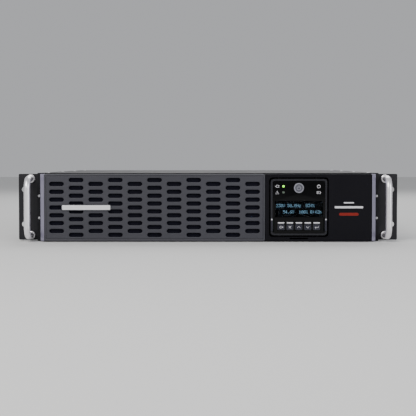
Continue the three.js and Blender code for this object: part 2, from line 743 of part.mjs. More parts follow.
function fanFrame() {
  const shape = rounded(THREE.Shape, fan.size, fan.size, 3);
  const hole = new THREE.Path();
  hole.absarc(0, 0, fanBore, 0, 2 * Math.PI, false);
  shape.holes.push(hole);
  let body = slab(shape, [0, fan.depth], 8);
  const arms = [-spokeDepth, 0].map((v) => v + fan.depth);
  body = body.add(rod(fan.hub / 2, arms, 0, 0, 16));
  const half = fanBore + 1;
  body = body.add(block([-half, half], arms, about(0, fan.spoke)));
  return body.add(block(about(0, fan.spoke), arms, [-half, half]));
}

const spokeDepth = 3;

function fanRotor() {
  const back = fan.depth - spokeDepth - 1;
  const tip = fanBore - 2.2;
  let body = rod(fan.hub / 2, [2, back], 0, 0, 16);
  for (let i = 0; i < fan.blades; i++) {
    const blade = new THREE.BoxGeometry(tip - fan.hub / 2 + 2, 1.4, 17);
    blade.rotateX(-0.75);
    blade.translate((tip + fan.hub / 2 - 2) / 2, (2 + back) / 2, 0);
    blade.rotateY((i * 2 * Math.PI) / fan.blades);
    body = body.add(solid(blade));
  }
  return body;
}

function fanGuard() {
  const lip = guard.standoff;
  const along = [lip, lip + guard.wire];
  const hoop = (radius) => {
    const shape = new THREE.Shape();
    shape.absarc(0, 0, radius + guard.wire / 2, 0, 2 * Math.PI, false);
    const hole = new THREE.Path();
    hole.absarc(0, 0, radius - guard.wire / 2, 0, 2 * Math.PI, false);
    shape.holes.push(hole);
    return slab(shape, along, 8);
  };
  const outer = fanBore - 2;
  let body = hoop(outer);
  for (let i = 1; i < guard.rings; i++) body = body.add(hoop((outer * i) / guard.rings));
  const reach = fan.size / Math.SQRT2 - 6;
  for (const turn of [1, -1]) {
    const arm = new THREE.BoxGeometry(2 * reach, guard.wire, guard.wire);
    arm.translate(0, lip + guard.wire / 2, 0);
    arm.rotateY((turn * Math.PI) / 4);
    body = body.add(solid(arm));
  }
  for (const x of [-1, 1]) {
    for (const z of [-1, 1]) {
      const foot = (reach - 1) / Math.SQRT2;
      body = body.add(rod(2, [seam, lip + guard.wire], x * foot, z * foot, 8));
    }
  }
  return body;
}

fanX.forEach((x, i) => {
  const word = ["outer", "inner"][i];
  const group = new THREE.Group();
  group.position.set(x, panelFront - seam - fan.depth, fanZ);
  assembly.add(group);
  piece(`fan_frame_${word}`, fanFrame(), material.nylon, group);
  piece(`fan_rotor_${word}`, fanRotor(), material.nylon, group);
  const shield = piece(`fan_guard_${word}`, fanGuard(), material.zincSteel, group);
  shield.position.y = fan.depth + seam + chassis.sheet;
});

// ---- Rear panel fittings -------------------------------------------------------------------

function powerInlet() {
  const face = chassisBack + seam + inlet.lip;
  const lipSize = [inlet.width + 5, inlet.height + 5];
  const lip = rounded(THREE.Shape, ...lipSize, 2, powerX, inletZ);
  let body = slab(lip, [chassisBack + seam, face]);
  body = body.add(
    block(about(powerX, inlet.width), [face - inlet.depth, face], about(inletZ, inlet.height)),
  );
  const mouth = rounded(THREE.Shape, 27.5, 19.5, 3, powerX, inletZ);
  body = body.subtract(slab(mouth, [face - inlet.cavityDepth, face + 1]));
  const pins = [[-7, 3], [7, 3], [0, -3]];
  for (const [x, z] of pins) {
    const along = [face - inlet.cavityDepth - 0.1, face - 6];
    body = body.add(block(about(powerX + x, 2), along, about(inletZ + z, 7)));
  }
  return body;
}

// Four receptacles in one block; each has a T slot, a plain slot and an earth hole.
function outletBank(middle) {
  const face = chassisBack + outlet.proud;
  const along = [face - outlet.depth, face];
  let body = block(about(middle, bankWidth), along, about(midZ, bankHeight));
  const cut = [face - outlet.slotDepth, face + 1];
  for (const column of [-0.5, 0.5]) {
    for (const row of [-0.5, 0.5]) {
      const x = middle + column * outlet.pitchX;
      const z = midZ + row * outlet.pitchZ;
      const slots = joined(
        block(about(x - 6.4, 2.4), cut, about(z + 4, 8.6)),
        block([x - 6.4, x - 1.8], cut, about(z + 4, 2.4)),
        block(about(x + 6.4, 2.4), cut, about(z + 4, 7.4)),
        rod(2.7, cut, x, z - 7.5, 10),
      );
      body = body.subtract(slots);
    }
  }
  return body;
}

function batteryPackPort() {
  const face = chassisBack + packPort.proud;
  const along = [face - packPort.depth, face];
  let body = block(about(powerX, packPort.width), along, about(packPortZ, packPort.height));
  const cell = (packPort.width - 3 * packPort.wall) / 2;
  for (const side of [-1, 1]) {
    const across = about(powerX + (side * (cell + packPort.wall)) / 2, cell);
    const height = about(packPortZ, packPort.height - 2 * packPort.wall);
    body = body.subtract(block(across, [face - 20, face + 1], height));
  }
  return body;
}

function breakerBody(x) {
  const inner = [panelFront - seam - breaker.depth, panelFront - seam];
  let body = block(about(x, breaker.body), inner, about(breakerZ, breaker.body));
  const collar = [inner[1] - 0.1, chassisBack + breaker.collarLength];
  body = body.add(rod(breaker.collar / 2, collar, x, breakerZ, 16));
  const well = breaker.button / 2 + slip;
  return body.subtract(rod(well, [inner[0] + 6, collar[1] + 1], x, breakerZ, 14));
}

function breakerButton(x) {
  const face = chassisBack + breaker.collarLength + 1;
  return rod(breaker.button / 2, [face - breaker.buttonLength, face], x, breakerZ, 14);
}

function networkCard() {
  const face = chassisBack + seam;
  const plate = rounded(THREE.Shape, netCard.width, netCard.height, 1.5, cardX, cardZ);
  let body = slab(plate, [face, face + netCard.face], 1);
  const jackX = cardX + 24;
  const jack = block(about(jackX, 16), [face - 20, face + netCard.face], about(cardZ, 14));
  const card = [cardZ - 8.6, cardZ - 7];
  body = joined(body, jack);
  body = body.add(block(about(cardX, netCard.width - 12), [face - netCard.depth, face + 0.1], card));
  const mouth = block(about(jackX, 12), [face - 14, face + netCard.face + 1], about(cardZ, 8.4));
  return body.subtract(mouth);
}

const jacks = [
  { x: -26, width: 12, height: 11, depth: 14 },
  { x: 0, width: 12, height: 8.4, depth: 13 },
  { x: 26, width: 10, height: 7.6, depth: 13 },
];

function commPorts() {
  const face = chassisBack + ports.proud;
  const along = [face - ports.depth, face];
  let body = block(about(cardX, ports.width), along, about(portsZ, ports.height));
  for (const jack of jacks) {
    const across = about(cardX + jack.x, jack.width);
    body = body.subtract(block(across, [face - jack.depth, face + 1], about(portsZ, jack.height)));
  }
  return body;
}

// A threaded stud through the panel, with the nut that holds an earth lead.
function groundStud() {
  const body = rod(stud.diameter / 2, [panelFront - 4, chassisBack + stud.length], studX, studZ, 12);
  const near = chassisBack + seam;
  return body.add(rod(stud.nut / Math.sqrt(3), [near, near + stud.nutLength], studX, studZ, 6));
}

piece("power_inlet", powerInlet(), material.nylon);
bankX.forEach((x, i) => piece(`outlet_bank_${i + 1}`, outletBank(x), material.nylon));
piece("battery_pack_port", batteryPackPort(), material.key);
breakerX.forEach((x, i) => {
  piece(`breaker_${i + 1}`, breakerBody(x), material.nylon);
  piece(`breaker_button_${i + 1}`, breakerButton(x), material.pale);
});
piece("network_card", networkCard(), material.zincSteel);
piece("ground_stud", groundStud(), material.zincSteel);
piece("comm_ports", commPorts(), material.nylon);

// The frame's origin is under the middle of the whole assembly, on the surface it rests on.
assembly.position.y = -(assemblyFront + assemblyBack) / 2;

const ups = new THREE.Group();
ups.name = "rackmount_ups";
ups.add(assembly);

export default ups;
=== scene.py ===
"""The looks of a two-unit rackmount uninterruptible power supply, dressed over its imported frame.

Metres throughout. +X is the right-hand side seen from the front, +Y runs to the rear, +Z is up.
Each sub-assembly is a class with its own sizes, which takes its places from the frame's nodes.
"""

from __future__ import annotations

import logging
import math
from dataclasses import dataclass
from enum import Enum
from typing import Iterable, Optional, Sequence

import bmesh
import bpy
from mathutils import Matrix, Vector


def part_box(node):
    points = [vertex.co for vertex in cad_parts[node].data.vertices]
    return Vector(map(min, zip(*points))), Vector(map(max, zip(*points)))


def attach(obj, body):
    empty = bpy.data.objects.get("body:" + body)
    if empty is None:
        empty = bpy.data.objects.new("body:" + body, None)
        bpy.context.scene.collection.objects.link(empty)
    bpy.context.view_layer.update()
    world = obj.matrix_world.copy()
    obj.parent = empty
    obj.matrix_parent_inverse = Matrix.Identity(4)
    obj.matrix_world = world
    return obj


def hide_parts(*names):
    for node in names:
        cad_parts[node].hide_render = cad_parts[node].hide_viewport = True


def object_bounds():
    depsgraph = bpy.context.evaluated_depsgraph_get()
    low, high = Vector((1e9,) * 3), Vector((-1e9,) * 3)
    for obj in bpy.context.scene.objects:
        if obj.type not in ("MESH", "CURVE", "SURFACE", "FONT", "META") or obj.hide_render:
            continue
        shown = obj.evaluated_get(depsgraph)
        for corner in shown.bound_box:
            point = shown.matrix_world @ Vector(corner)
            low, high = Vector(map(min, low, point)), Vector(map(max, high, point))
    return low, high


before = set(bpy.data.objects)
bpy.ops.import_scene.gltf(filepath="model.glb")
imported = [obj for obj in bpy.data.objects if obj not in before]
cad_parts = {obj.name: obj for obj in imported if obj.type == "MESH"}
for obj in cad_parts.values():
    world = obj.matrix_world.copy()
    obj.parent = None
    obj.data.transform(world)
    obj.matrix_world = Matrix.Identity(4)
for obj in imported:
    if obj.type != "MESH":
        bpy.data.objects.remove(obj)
CAD_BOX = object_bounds()
LOG = logging.getLogger("rack_power_supply")

MM = 0.001
WELD = 0.002 * MM  # corners as near as this are one
CREASE = math.radians(50)  # an edge that turns further is shaded sharp
Point = tuple[float, float]
Outline = list[Point]
Colour = tuple[float, float, float]
Mark = tuple[float, float, float]


# ---- Node trees ---------------------------------------------------------------------------


class NodeBench:
    """Adds nodes to one tree and wires them."""

    def __init__(self, tree: bpy.types.NodeTree) -> None:
        """Keeps the tree.

        Args:
            tree: The shader or geometry tree that the nodes go into.
        """
        self.tree = tree

    def add(self, kind: str, inputs: Optional[dict] = None, **settings: object) -> bpy.types.Node:
        """Adds one node.

        Args:
            kind: The node's type name.
            inputs: Values or output sockets, by input name or number.
            **settings: Properties of the node itself.

        Returns:
            The new node.
        """
        node = self.tree.nodes.new(kind)
        for key, value in settings.items():
            setattr(node, key, value)
        for key, value in (inputs or {}).items():
            if isinstance(value, bpy.types.NodeSocket):
                self.tree.links.new(value, node.inputs[key])
            else:
                node.inputs[key].default_value = value
        return node

    def maths(self, operation: str, first: object, second: object = 0.0) -> bpy.types.NodeSocket:
        """Returns the result of one sum on one or two values."""
        return self.add("ShaderNodeMath", {0: first, 1: second}, operation=operation).outputs[0]


# ---- Finishes -----------------------------------------------------------------------------


class Texture(Enum):
    """What a finish's surface is like close up."""

    PEEL = "powder coat, softly pimpled"
    GRAIN = "moulded plastic with an eroded grain"
    BRUSHED_X = "metal brushed along X"
    BRUSHED_Z = "metal brushed along Z"
    SPANGLE = "zinc crystals"
    WOUND = "wire wound in layers"
    STACKED = "thin sheets stacked along Y"
    TRACKS = "copper tracks under a solder mask"
    FOAM = "open-cell foam"
    POLISH = "polished, with fine hairlines"


@dataclass(frozen=True)
class Finish:
    """One surface finish, made from procedural nodes on Object coordinates."""

    slot: str
    colour: Colour
    roughness: float
    texture: Texture = Texture.GRAIN
    metallic: float = 0.0
    relief: float = 0.5
    scale: float = 1.0
    mottle: float = 0.12
    wear: float = 0.0
    coat: float = 0.0
    clear: float = 0.0
    glow: float = 0.0
    gloss: float = 0.5
    bend: float = 1.5

    def height(self, bench: NodeBench, place: bpy.types.NodeSocket) -> bpy.types.NodeSocket:
        """Lays out the fine relief.

        Args:
            bench: The material's tree.
            place: Object coordinates.

        Returns:
            A socket with the relief's height, from 0 to 1.
        """

        def noise(stretch: tuple, size: float, detail: float = 3.0) -> bpy.types.NodeSocket:
            """Returns noise of a given size, stretched along some of the axes.

            Args:
                stretch: The scale along each axis.
                size: The noise's scale.
                detail: Its octaves.

            Returns:
                The noise.
            """
            spread = bench.add("ShaderNodeMapping", {"Vector": place, "Scale": stretch})
            inputs = {"Vector": spread.outputs[0], "Scale": size * self.scale, "Detail": detail}
            return bench.add("ShaderNodeTexNoise", inputs).outputs["Fac"]

        def cells(size: float, feature: str, output: str = "Distance") -> bpy.types.NodeSocket:
            """Returns a cell pattern of a given size."""
            inputs = {"Vector": place, "Scale": size * self.scale}
            return bench.add("ShaderNodeTexVoronoi", inputs, feature=feature).outputs[output]

        def bands(axis: str, size: float) -> bpy.types.NodeSocket:
            """Returns even bands across one axis.

            Args:
                axis: The axis.
                size: The bands' scale.

            Returns:
                The bands.
            """
            inputs = {"Vector": place, "Scale": size * self.scale, "Distortion": 0.3, "Detail": 1.0}
            wave = bench.add("ShaderNodeTexWave", inputs, bands_direction=axis)
            return wave.outputs["Fac"]

        even = (1.0, 1.0, 1.0)
        kind = self.texture
        if kind is Texture.PEEL:
            return bench.maths("ADD", cells(900.0, "SMOOTH_F1"), noise(even, 1500.0))
        if kind is Texture.BRUSHED_X:
            return noise((0.02, 1.0, 1.0), 4000.0, 4.0)
        if kind is Texture.BRUSHED_Z:
            return noise((1.0, 1.0, 0.02), 4000.0, 4.0)
        if kind is Texture.SPANGLE:
            shade = bench.add("ShaderNodeSeparateColor", {0: cells(170.0, "F1", "Color")})
            return bench.maths("ADD", shade.outputs[0], noise(even, 1800.0))
        if kind is Texture.WOUND:
            return bench.maths("ADD", bands("Z", 150.0), noise((0.05, 0.05, 1.0), 3000.0))
        if kind is Texture.STACKED:
            return bench.maths("ADD", bands("Y", 320.0), noise((1.0, 0.1, 1.0), 900.0))
        if kind is Texture.TRACKS:
            edge = cells(75.0, "DISTANCE_TO_EDGE")
            track = bench.maths("LESS_THAN", edge, 0.07)
            return bench.maths("ADD", track, bench.maths("MULTIPLY", noise(even, 900.0), 0.3))
        if kind is Texture.FOAM:
            return cells(650.0, "F1")
        if kind is Texture.POLISH:
            return noise((0.05, 1.0, 1.0), 900.0, 6.0)
        return bench.maths("ADD", noise(even, 2200.0), cells(1500.0, "F1"))

    def material(self) -> bpy.types.Material:
        """Builds the finish's material once, and hands the same one out after that.

        Returns:
            The material.
        """
        known = bpy.data.materials.get(self.label())
        if known:
            return known
        made = bpy.data.materials.new(self.label())
        made.use_nodes = True
        made.node_tree.nodes.clear()
        bench = NodeBench(made.node_tree)
        place = bench.add("ShaderNodeTexCoord").outputs["Object"]
        height = self.height(bench, place)
        broad = bench.add("ShaderNodeTexNoise", {"Vector": place, "Scale": 14.0, "Detail": 5.0})
        tone = self.toned(bench, broad.outputs["Fac"], height)
        spread = {0: broad.outputs["Fac"], 3: self.roughness * 0.93, 4: self.roughness * 1.08}
        rough = bench.add("ShaderNodeMapRange", {**spread, 1: 0.3, 2: 0.7}).outputs[0]
        depth = 0.00006 * self.relief
        bump = bench.add("ShaderNodeBump", {"Height": height, "Strength": 1.0, "Distance": depth})
        shader = bench.add(
            "ShaderNodeBsdfPrincipled",
            {
                "Base Color": tone,
                "Roughness": rough,
                "Normal": bump.outputs[0],
                "Metallic": self.metallic,
                "Coat Weight": self.coat,
                "Coat Roughness": 0.12,
                "Specular IOR Level": self.gloss,
                "IOR": self.bend,
                "Transmission Weight": self.clear,
                "Emission Color": (*self.colour, 1.0),
                "Emission Strength": self.glow,
            },
        )
        bench.add("ShaderNodeOutputMaterial", {0: shader.outputs[0]})
        return made

    def toned(
        self, bench: NodeBench, broad: bpy.types.NodeSocket, height: bpy.types.NodeSocket
    ) -> bpy.types.NodeSocket:
        """Varies the colour slowly, darkens its hollows, and brightens its worn edges.

        Args:
            bench: The material's tree.
            broad: Slow noise.
            height: The fine relief.

        Returns:
            The colour.
        """

        def shade(factor: float) -> tuple:
            """Returns the finish's colour made lighter or darker."""
            return (*(min(1.0, c * factor) for c in self.colour), 1.0)

        mix = bench.add(
            "ShaderNodeMix",
            {0: broad, 6: shade(1.0 - self.mottle), 7: shade(1.0 + self.mottle)},
            data_type="RGBA",
        )
        share = bench.maths("MULTIPLY", height, 0.25 * min(1.0, self.relief))
        mix = bench.add(
            "ShaderNodeMix",
            {0: share, 6: mix.outputs[2], 7: shade(1.0 + 2.0 * self.mottle)},
            data_type="RGBA",
        )
        if not self.wear:
            return mix.outputs[2]
        edge = bench.add("ShaderNodeAttribute", attribute_name="rubbed").outputs["Fac"]
        worn = bench.maths("MULTIPLY", edge, self.wear)
        patchy = bench.maths("MULTIPLY", worn, broad)
        bright = (*(min(1.0, 0.25 + 1.6 * c) for c in self.colour), 1.0)
        mix = bench.add(
            "ShaderNodeMix", {0: patchy, 6: mix.outputs[2], 7: bright}, data_type="RGBA"
        )
        return mix.outputs[2]

    def label(self) -> str:
        """Returns a name that is different for each finish."""
        code = sum((i + 1) * round(c * 9999) for i, c in enumerate(self.colour))
        return f"{self.slot}_{self.texture.name.lower()}_{code % 99999}"


class Finishes:
    """Every finish of the power supply."""

    POWDER = Finish(
        "powder_coat", (0.0095, 0.009, 0.0115), 0.48, Texture.PEEL, relief=1.2, wear=0.5, gloss=0.3
    )
    INNER = Finish("inner_frame", (0.009, 0.009, 0.011), 0.55, relief=0.7, gloss=0.2)
    HANDLE = Finish(
        "handle_metal", (0.97, 0.95, 0.97), 0.33, Texture.BRUSHED_Z, 0.9, 0.12, mottle=0.03
    )
    COVER = Finish("cover_plastic", (0.041, 0.041, 0.05), 0.44, relief=0.9, wear=0.25, gloss=0.32)
    FILTER = Finish("inner_frame", (0.006, 0.006, 0.011), 0.95, Texture.FOAM, relief=8.0, gloss=0.1)
    BADGE = Finish("badge_metal", (0.9, 0.9, 0.92), 0.34, Texture.BRUSHED_X, 0.6, 0.25)
    TRIM = Finish(
        "trim_paint", (0.34, 0.325, 0.43), 0.32, Texture.BRUSHED_Z, 0.6, 0.2, wear=0.3
    )
    FASCIA = Finish("fascia_plastic", (0.0045, 0.0042, 0.0064), 0.34, relief=0.5, gloss=0.13)
    RIM = Finish("fascia_plastic", (0.012, 0.012, 0.016), 0.28, relief=0.3, wear=0.5, gloss=0.35)
    LENS = Finish(
        "lens_gloss", (0.0009, 0.0009, 0.0012), 0.05, Texture.POLISH, relief=0.02, gloss=0.16
    )
    WINDOW = Finish(
        "lens_gloss",
        (0.7, 0.73, 0.76),
        0.03,
        Texture.POLISH,
        relief=0.01,
        mottle=0.02,
        clear=1.0,
        bend=1.06,
    )
    SCREEN = Finish("screen", (0.0008, 0.0016, 0.003), 0.25, relief=0.1, gloss=0.15)
    DOTS = Finish("screen", (0.27, 0.5, 0.66), 0.4, relief=0.1, mottle=0.03, glow=0.42)
    BOARD = Finish("board_green", (0.012, 0.09, 0.035), 0.35, Texture.TRACKS, relief=1.2, coat=0.4)
    BUTTON = Finish("button_grey", (0.085, 0.085, 0.105), 0.3, relief=0.4, wear=0.3, metallic=0.3)
    HALO = Finish("button_grey", (0.34, 0.34, 0.38), 0.28, Texture.POLISH, 0.6, 0.1, gloss=0.4)
    PALE = Finish("button_grey", (0.66, 0.65, 0.68), 0.45, relief=0.2, mottle=0.04)
    KEY = Finish("key_plastic", (0.018, 0.018, 0.028), 0.4, relief=0.5, wear=0.3, gloss=0.3)
    GREEN = Finish("button_grey", (0.22, 0.9, 0.04), 0.3, relief=0.05, mottle=0.02, glow=1.6)
    UNLIT = Finish("button_grey", (0.06, 0.09, 0.06), 0.18, relief=0.05, coat=0.6)
    RED = Finish("button_grey", (0.2, 0.014, 0.009), 0.4, relief=0.2, mottle=0.05, gloss=0.2)
    ZINC = Finish("zinc", (0.5, 0.51, 0.53), 0.34, Texture.SPANGLE, 0.95, 0.35, wear=0.2)
    BATTERY = Finish("battery_case", (0.035, 0.036, 0.04), 0.5, relief=0.8, wear=0.25)
    NYLON = Finish("black_nylon", (0.011, 0.011, 0.013), 0.42, relief=0.6, wear=0.25)
    SOCKET = Finish("black_nylon", (0.02, 0.02, 0.023), 0.36, relief=0.35, wear=0.3)
    STEEL = Finish("thumbscrew_steel", (0.55, 0.55, 0.56), 0.28, Texture.SPANGLE, 1.0, 0.15)
    FAN = Finish("fan_plastic", (0.014, 0.014, 0.016), 0.4, relief=0.5)
    GUARD = Finish("guard_wire", (0.66, 0.66, 0.68), 0.22, Texture.POLISH, 1.0, 0.2)
    SINK = Finish("heatsink_metal", (0.55, 0.56, 0.58), 0.38, Texture.BRUSHED_X, 1.0, 0.3)
    CORE = Finish("core_steel", (0.07, 0.068, 0.065), 0.45, Texture.STACKED, 0.6, 1.4)
    COIL = Finish("winding", (0.42, 0.17, 0.06), 0.35, Texture.WOUND, 0.8, 1.6, coat=0.5)
    SLEEVE = Finish("board_green", (0.02, 0.035, 0.11), 0.35, Texture.POLISH, relief=0.1, coat=0.3)
    CAP = Finish("breaker_cap", (0.6, 0.59, 0.56), 0.35, relief=0.3)
    BRASS = Finish("winding", (0.72, 0.5, 0.2), 0.3, Texture.POLISH, 1.0, 0.15)
    FLOOR = Finish("stage", (0.72, 0.72, 0.71), 0.75, relief=0.4, mottle=0.02)


# ---- Outlines and meshes ------------------------------------------------------------------


@dataclass(frozen=True)
class Extent:
    """The box round one or more nodes at rest."""

    low: Vector
    high: Vector

    @classmethod
    def of(cls, *nodes: str) -> Extent:
        """Measures the nodes' boxes in the frame.

        Args:
            *nodes: The nodes' names.

        Returns:
            The box round all of them.
        """
        boxes = [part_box(node) for node in nodes]
        low = Vector(min(b[0][i] for b in boxes) for i in range(3))
        high = Vector(max(b[1][i] for b in boxes) for i in range(3))
        return cls(low, high)

    @property
    def middle(self) -> Vector:
        """The box's centre."""
        return (self.low + self.high) / 2

    @property
    def size(self) -> Vector:
        """The box's three sides."""
        return self.high - self.low

    @property
    def spot(self) -> Point:
        """The centre's place across and up."""
        return self.middle.x, self.middle.z


def arc(x: float, z: float, radius: float, start: float, end: float, steps: int) -> Outline:
    """Lists points on an arc.

    Args:
        x: The centre across.
        z: The centre up.
        radius: The arc's radius.
        start: Where it starts, in quarter turns from +X.
        end: Where it ends, in quarter turns.
        steps: How many straight pieces it has.

    Returns:
        The points in order, both ends among them.
    """
    turns = [(start + (end - start) * i / steps) * math.pi / 2 for i in range(steps + 1)]
    return [(x + radius * math.cos(t), z + radius * math.sin(t)) for t in turns]


def rounded(width: float, height: float, radius: float, x: float = 0, z: float = 0) -> Outline:
    """Lists the points of a rectangle with round corners.

    Args:
        width: Its width.
        height: Its height.
        radius: Its corners' radius.
        x: Its middle across.
        z: Its middle up.

    Returns:
        The closed outline.
    """
    radius = min(radius, width / 2, height / 2)
    points: Outline = []
    for turn, (right, up) in enumerate(((1, 1), (-1, 1), (-1, -1), (1, -1))):
        corner = (x + right * (width / 2 - radius), z + up * (height / 2 - radius))
        points += arc(*corner, radius, turn, turn + 1, 6 if radius > MM else 3)
    return points


def circle(radius: float, x: float = 0, z: float = 0, steps: int = 32) -> Outline:
    """Lists the points of a circle."""
    return arc(x, z, radius, 0, 4, steps)[:-1]


def placed(name: str, data: bpy.types.ID) -> bpy.types.Object:
    """Makes an object of some data and puts it in the scene.

    Args:
        name: The object's name.
        data: Its mesh, curve, light or camera.

    Returns:
        The object.
    """
    item = bpy.data.objects.new(name, data)
    bpy.context.scene.collection.objects.link(item)
    return item


def evaluated(item: bpy.types.Object) -> bpy.types.Mesh:
    """Turns an object with its modifiers into a plain mesh, and removes the object.

    Args:
        item: A scratch object.

    Returns:
        The plain mesh.
    """
    bpy.context.view_layer.update()
    graph = bpy.context.evaluated_depsgraph_get()
    mesh = bpy.data.meshes.new_from_object(item.evaluated_get(graph), depsgraph=graph)
    bpy.data.objects.remove(item)
    return mesh


def from_bmesh(shape: bmesh.types.BMesh) -> bpy.types.Mesh:
    """Turns a finished bmesh into a mesh.

    Args:
        shape: The bmesh, freed here.

    Returns:
        The mesh.
    """
    mesh = bpy.data.meshes.new("shape")
    shape.to_mesh(mesh)
    shape.free()
    return mesh


def shaded(mesh: bpy.types.Mesh) -> bpy.types.Mesh:
    """Shades a mesh smooth between its sharp edges.

    Args:
        mesh: The mesh, changed in place.

    Returns:
        The same mesh.
    """
    mesh.shade_smooth()
    mesh.set_sharp_from_angle(angle=CREASE)
    return mesh


def tidied(mesh: bpy.types.Mesh, weld: float = WELD) -> bpy.types.Mesh:
    """Merges a mesh's doubles, points its faces outwards and rounds its shading.

    Args:
        mesh: The mesh, changed in place.
        weld: How near two corners are to be one.

    Returns:
        The same mesh.
    """
    shape = bmesh.new()
    shape.from_mesh(mesh)
    bmesh.ops.remove_doubles(shape, verts=shape.verts, dist=weld)
    bmesh.ops.dissolve_degenerate(shape, dist=weld / 2, edges=shape.edges)
    bmesh.ops.recalc_face_normals(shape, faces=shape.faces)
    shape.to_mesh(mesh)
    shape.free()
    return shaded(mesh)


def eased(mesh: bpy.types.Mesh, width: float, segments: int = 2) -> bpy.types.Mesh:
    """Rounds a mesh's sharp edges, notes where they rub, and evens out its shading.

    Args:
        mesh: A closed mesh.
        width: How wide the rounding is.
        segments: How many strips it has.

    Returns:
        The rounded mesh, with a "rubbed" attribute along the middle of each rounded edge.
    """
    item = placed("shape", mesh)
    mesh.materials.clear()
    if width:
        for _ in range(2):
            mesh.materials.append(None)
        bevel = item.modifiers.new("ease", "BEVEL")
        bevel.material = 1
        bevel.width = width
        bevel.segments = segments
        bevel.limit_method = "ANGLE"
        bevel.angle_limit = math.radians(32)
        bevel.use_clamp_overlap = True
    mesh.shade_smooth()
    made = shaded(evaluated(item))
    flats = {v for face in made.polygons if face.material_index == 0 for v in face.vertices}
    rubbed = made.attributes.new("rubbed", "FLOAT", "POINT")
    rubbed.data.foreach_set("value", [float(i not in flats) for i in range(len(made.vertices))])
    made.polygons.foreach_set("material_index", [0] * len(made.polygons))
    made.materials.clear()
    even = placed("shape", made)
    weighted = even.modifiers.new("even", "WEIGHTED_NORMAL")
    weighted.keep_sharp = True
    return evaluated(even)


def softened(node: str, width: float = 0.4 * MM, segments: int = 2) -> bpy.types.Mesh:
    """Copies a node's mesh, joins its loose triangles into faces and rounds its edges.

    Args:
        node: The node's name.
        width: How wide the rounding is.
        segments: How many strips it has.

    Returns:
        The new mesh.
    """
    shape = bmesh.new()
    shape.from_mesh(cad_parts[node].data)
    bmesh.ops.remove_doubles(shape, verts=shape.verts, dist=WELD)
    edges, verts = shape.edges, shape.verts
    bmesh.ops.dissolve_limit(shape, angle_limit=math.radians(1.0), verts=verts, edges=edges)
    return eased(from_bmesh(shape), width, segments)


def plate(
    outlines: Sequence[Outline], near: float, far: float, edge: float = 0.25 * MM, strips: int = 2
) -> bpy.types.Mesh:
    """Makes a flat plate with holes and rounded edges, which faces along Y.

    Args:
        outlines: The rim and the holes, across and up.
        near: The plate's front along Y.
        far: Its back.
        edge: The rounding of its edges.
        strips: How many strips the rounding has.

    Returns:
        The mesh.
    """
    curve = bpy.data.curves.new("outline", "CURVE")
    curve.dimensions = "2D"
    curve.fill_mode = "BOTH"
    for outline in outlines:
        spline = curve.splines.new("POLY")
        spline.points.add(len(outline) - 1)
        for point, (x, z) in zip(spline.points, outline):
            point.co = (x, z, 0, 1)
        spline.use_cyclic_u = True
    curve.extrude = max(0.0, (far - near) / 2 - edge)
    curve.bevel_depth = edge
    curve.bevel_resolution = strips - 1
    curve.offset = -edge
    mesh = evaluated(placed("outline", curve))
    bpy.data.curves.remove(curve)
    upright = Matrix.Rotation(math.pi / 2, 4, "X")
    mesh.transform(Matrix.Translation((0, (near + far) / 2, 0)) @ upright)
    return eased(tidied(mesh), 0)


def block(low: Sequence[float], high: Sequence[float], edge: float = 0.3 * MM) -> bpy.types.Mesh:
    """Makes a block between two corners, with rounded edges.

    Args:
        low: The lowest corner.
        high: The highest corner.
        edge: The rounding of its edges.

    Returns:
        The mesh.
    """
    shape = bmesh.new()
    bmesh.ops.create_cube(shape, size=1.0)
    size = Matrix.Diagonal((*(h - l for l, h in zip(low, high)), 1.0))
    middle = Matrix.Translation([(l + h) / 2 for l, h in zip(low, high)])
    bmesh.ops.transform(shape, matrix=middle @ size, verts=shape.verts)
    return eased(from_bmesh(shape), edge)


def turned(profile: Sequence[Point], x: float, z: float, sides: int = 32) -> bpy.types.Mesh:
    """Turns a profile about an axis along Y, as on a lathe.

    Args:
        profile: Radius and place along Y, from one end of the axis to the other.
        x: The axis's place across.
        z: The axis's height.
        sides: How many sides the round has.

    Returns:
        The closed mesh.
    """
    shape = bmesh.new()
    rings = []
    for radius, y in profile:
        if radius < 1e-7:
            rings.append([shape.verts.new((x, y, z))])
            continue
        spots = circle(radius, x, z, sides)
        rings.append([shape.verts.new((a, y, b)) for a, b in spots])
    for one, two in zip(rings, rings[1:]):
        for i in range(sides):
            j = (i + 1) % sides
            corners = [one[i % len(one)], one[j % len(one)], two[j % len(two)], two[i % len(two)]]
            shape.faces.new(dict.fromkeys(corners))
    return tidied(from_bmesh(shape))


def swept(
    path: Sequence[Sequence[float]], radius: float, closed: bool = False, sides: int = 4
) -> bpy.types.Mesh:
    """Runs a round bar along a path.

    Args:
        path: The points it passes.
        radius: The bar's radius.
        closed: Whether it comes back to where it starts.
        sides: A quarter of the bar's sides, less one.

    Returns:
        The closed mesh.
    """
    curve = bpy.data.curves.new("path", "CURVE")
    curve.dimensions = "3D"
    spline = curve.splines.new("POLY")
    spline.points.add(len(path) - 1)
    for point, spot in zip(spline.points, path):
        point.co = (*spot, 1)
    spline.use_cyclic_u = closed
    curve.bevel_depth = radius
    curve.bevel_resolution = sides
    curve.use_fill_caps = not closed
    mesh = evaluated(placed("path", curve))
    bpy.data.curves.remove(curve)
    return tidied(mesh)


def together(meshes: Iterable[bpy.types.Mesh]) -> bpy.types.Mesh:
    """Puts several meshes into one.

    Args:
        meshes: The meshes, removed here.

    Returns:
        The joined mesh.
    """
    shape = bmesh.new()
    for mesh in meshes:
        shape.from_mesh(mesh)
        bpy.data.meshes.remove(mesh)
    return shaded(from_bmesh(shape))


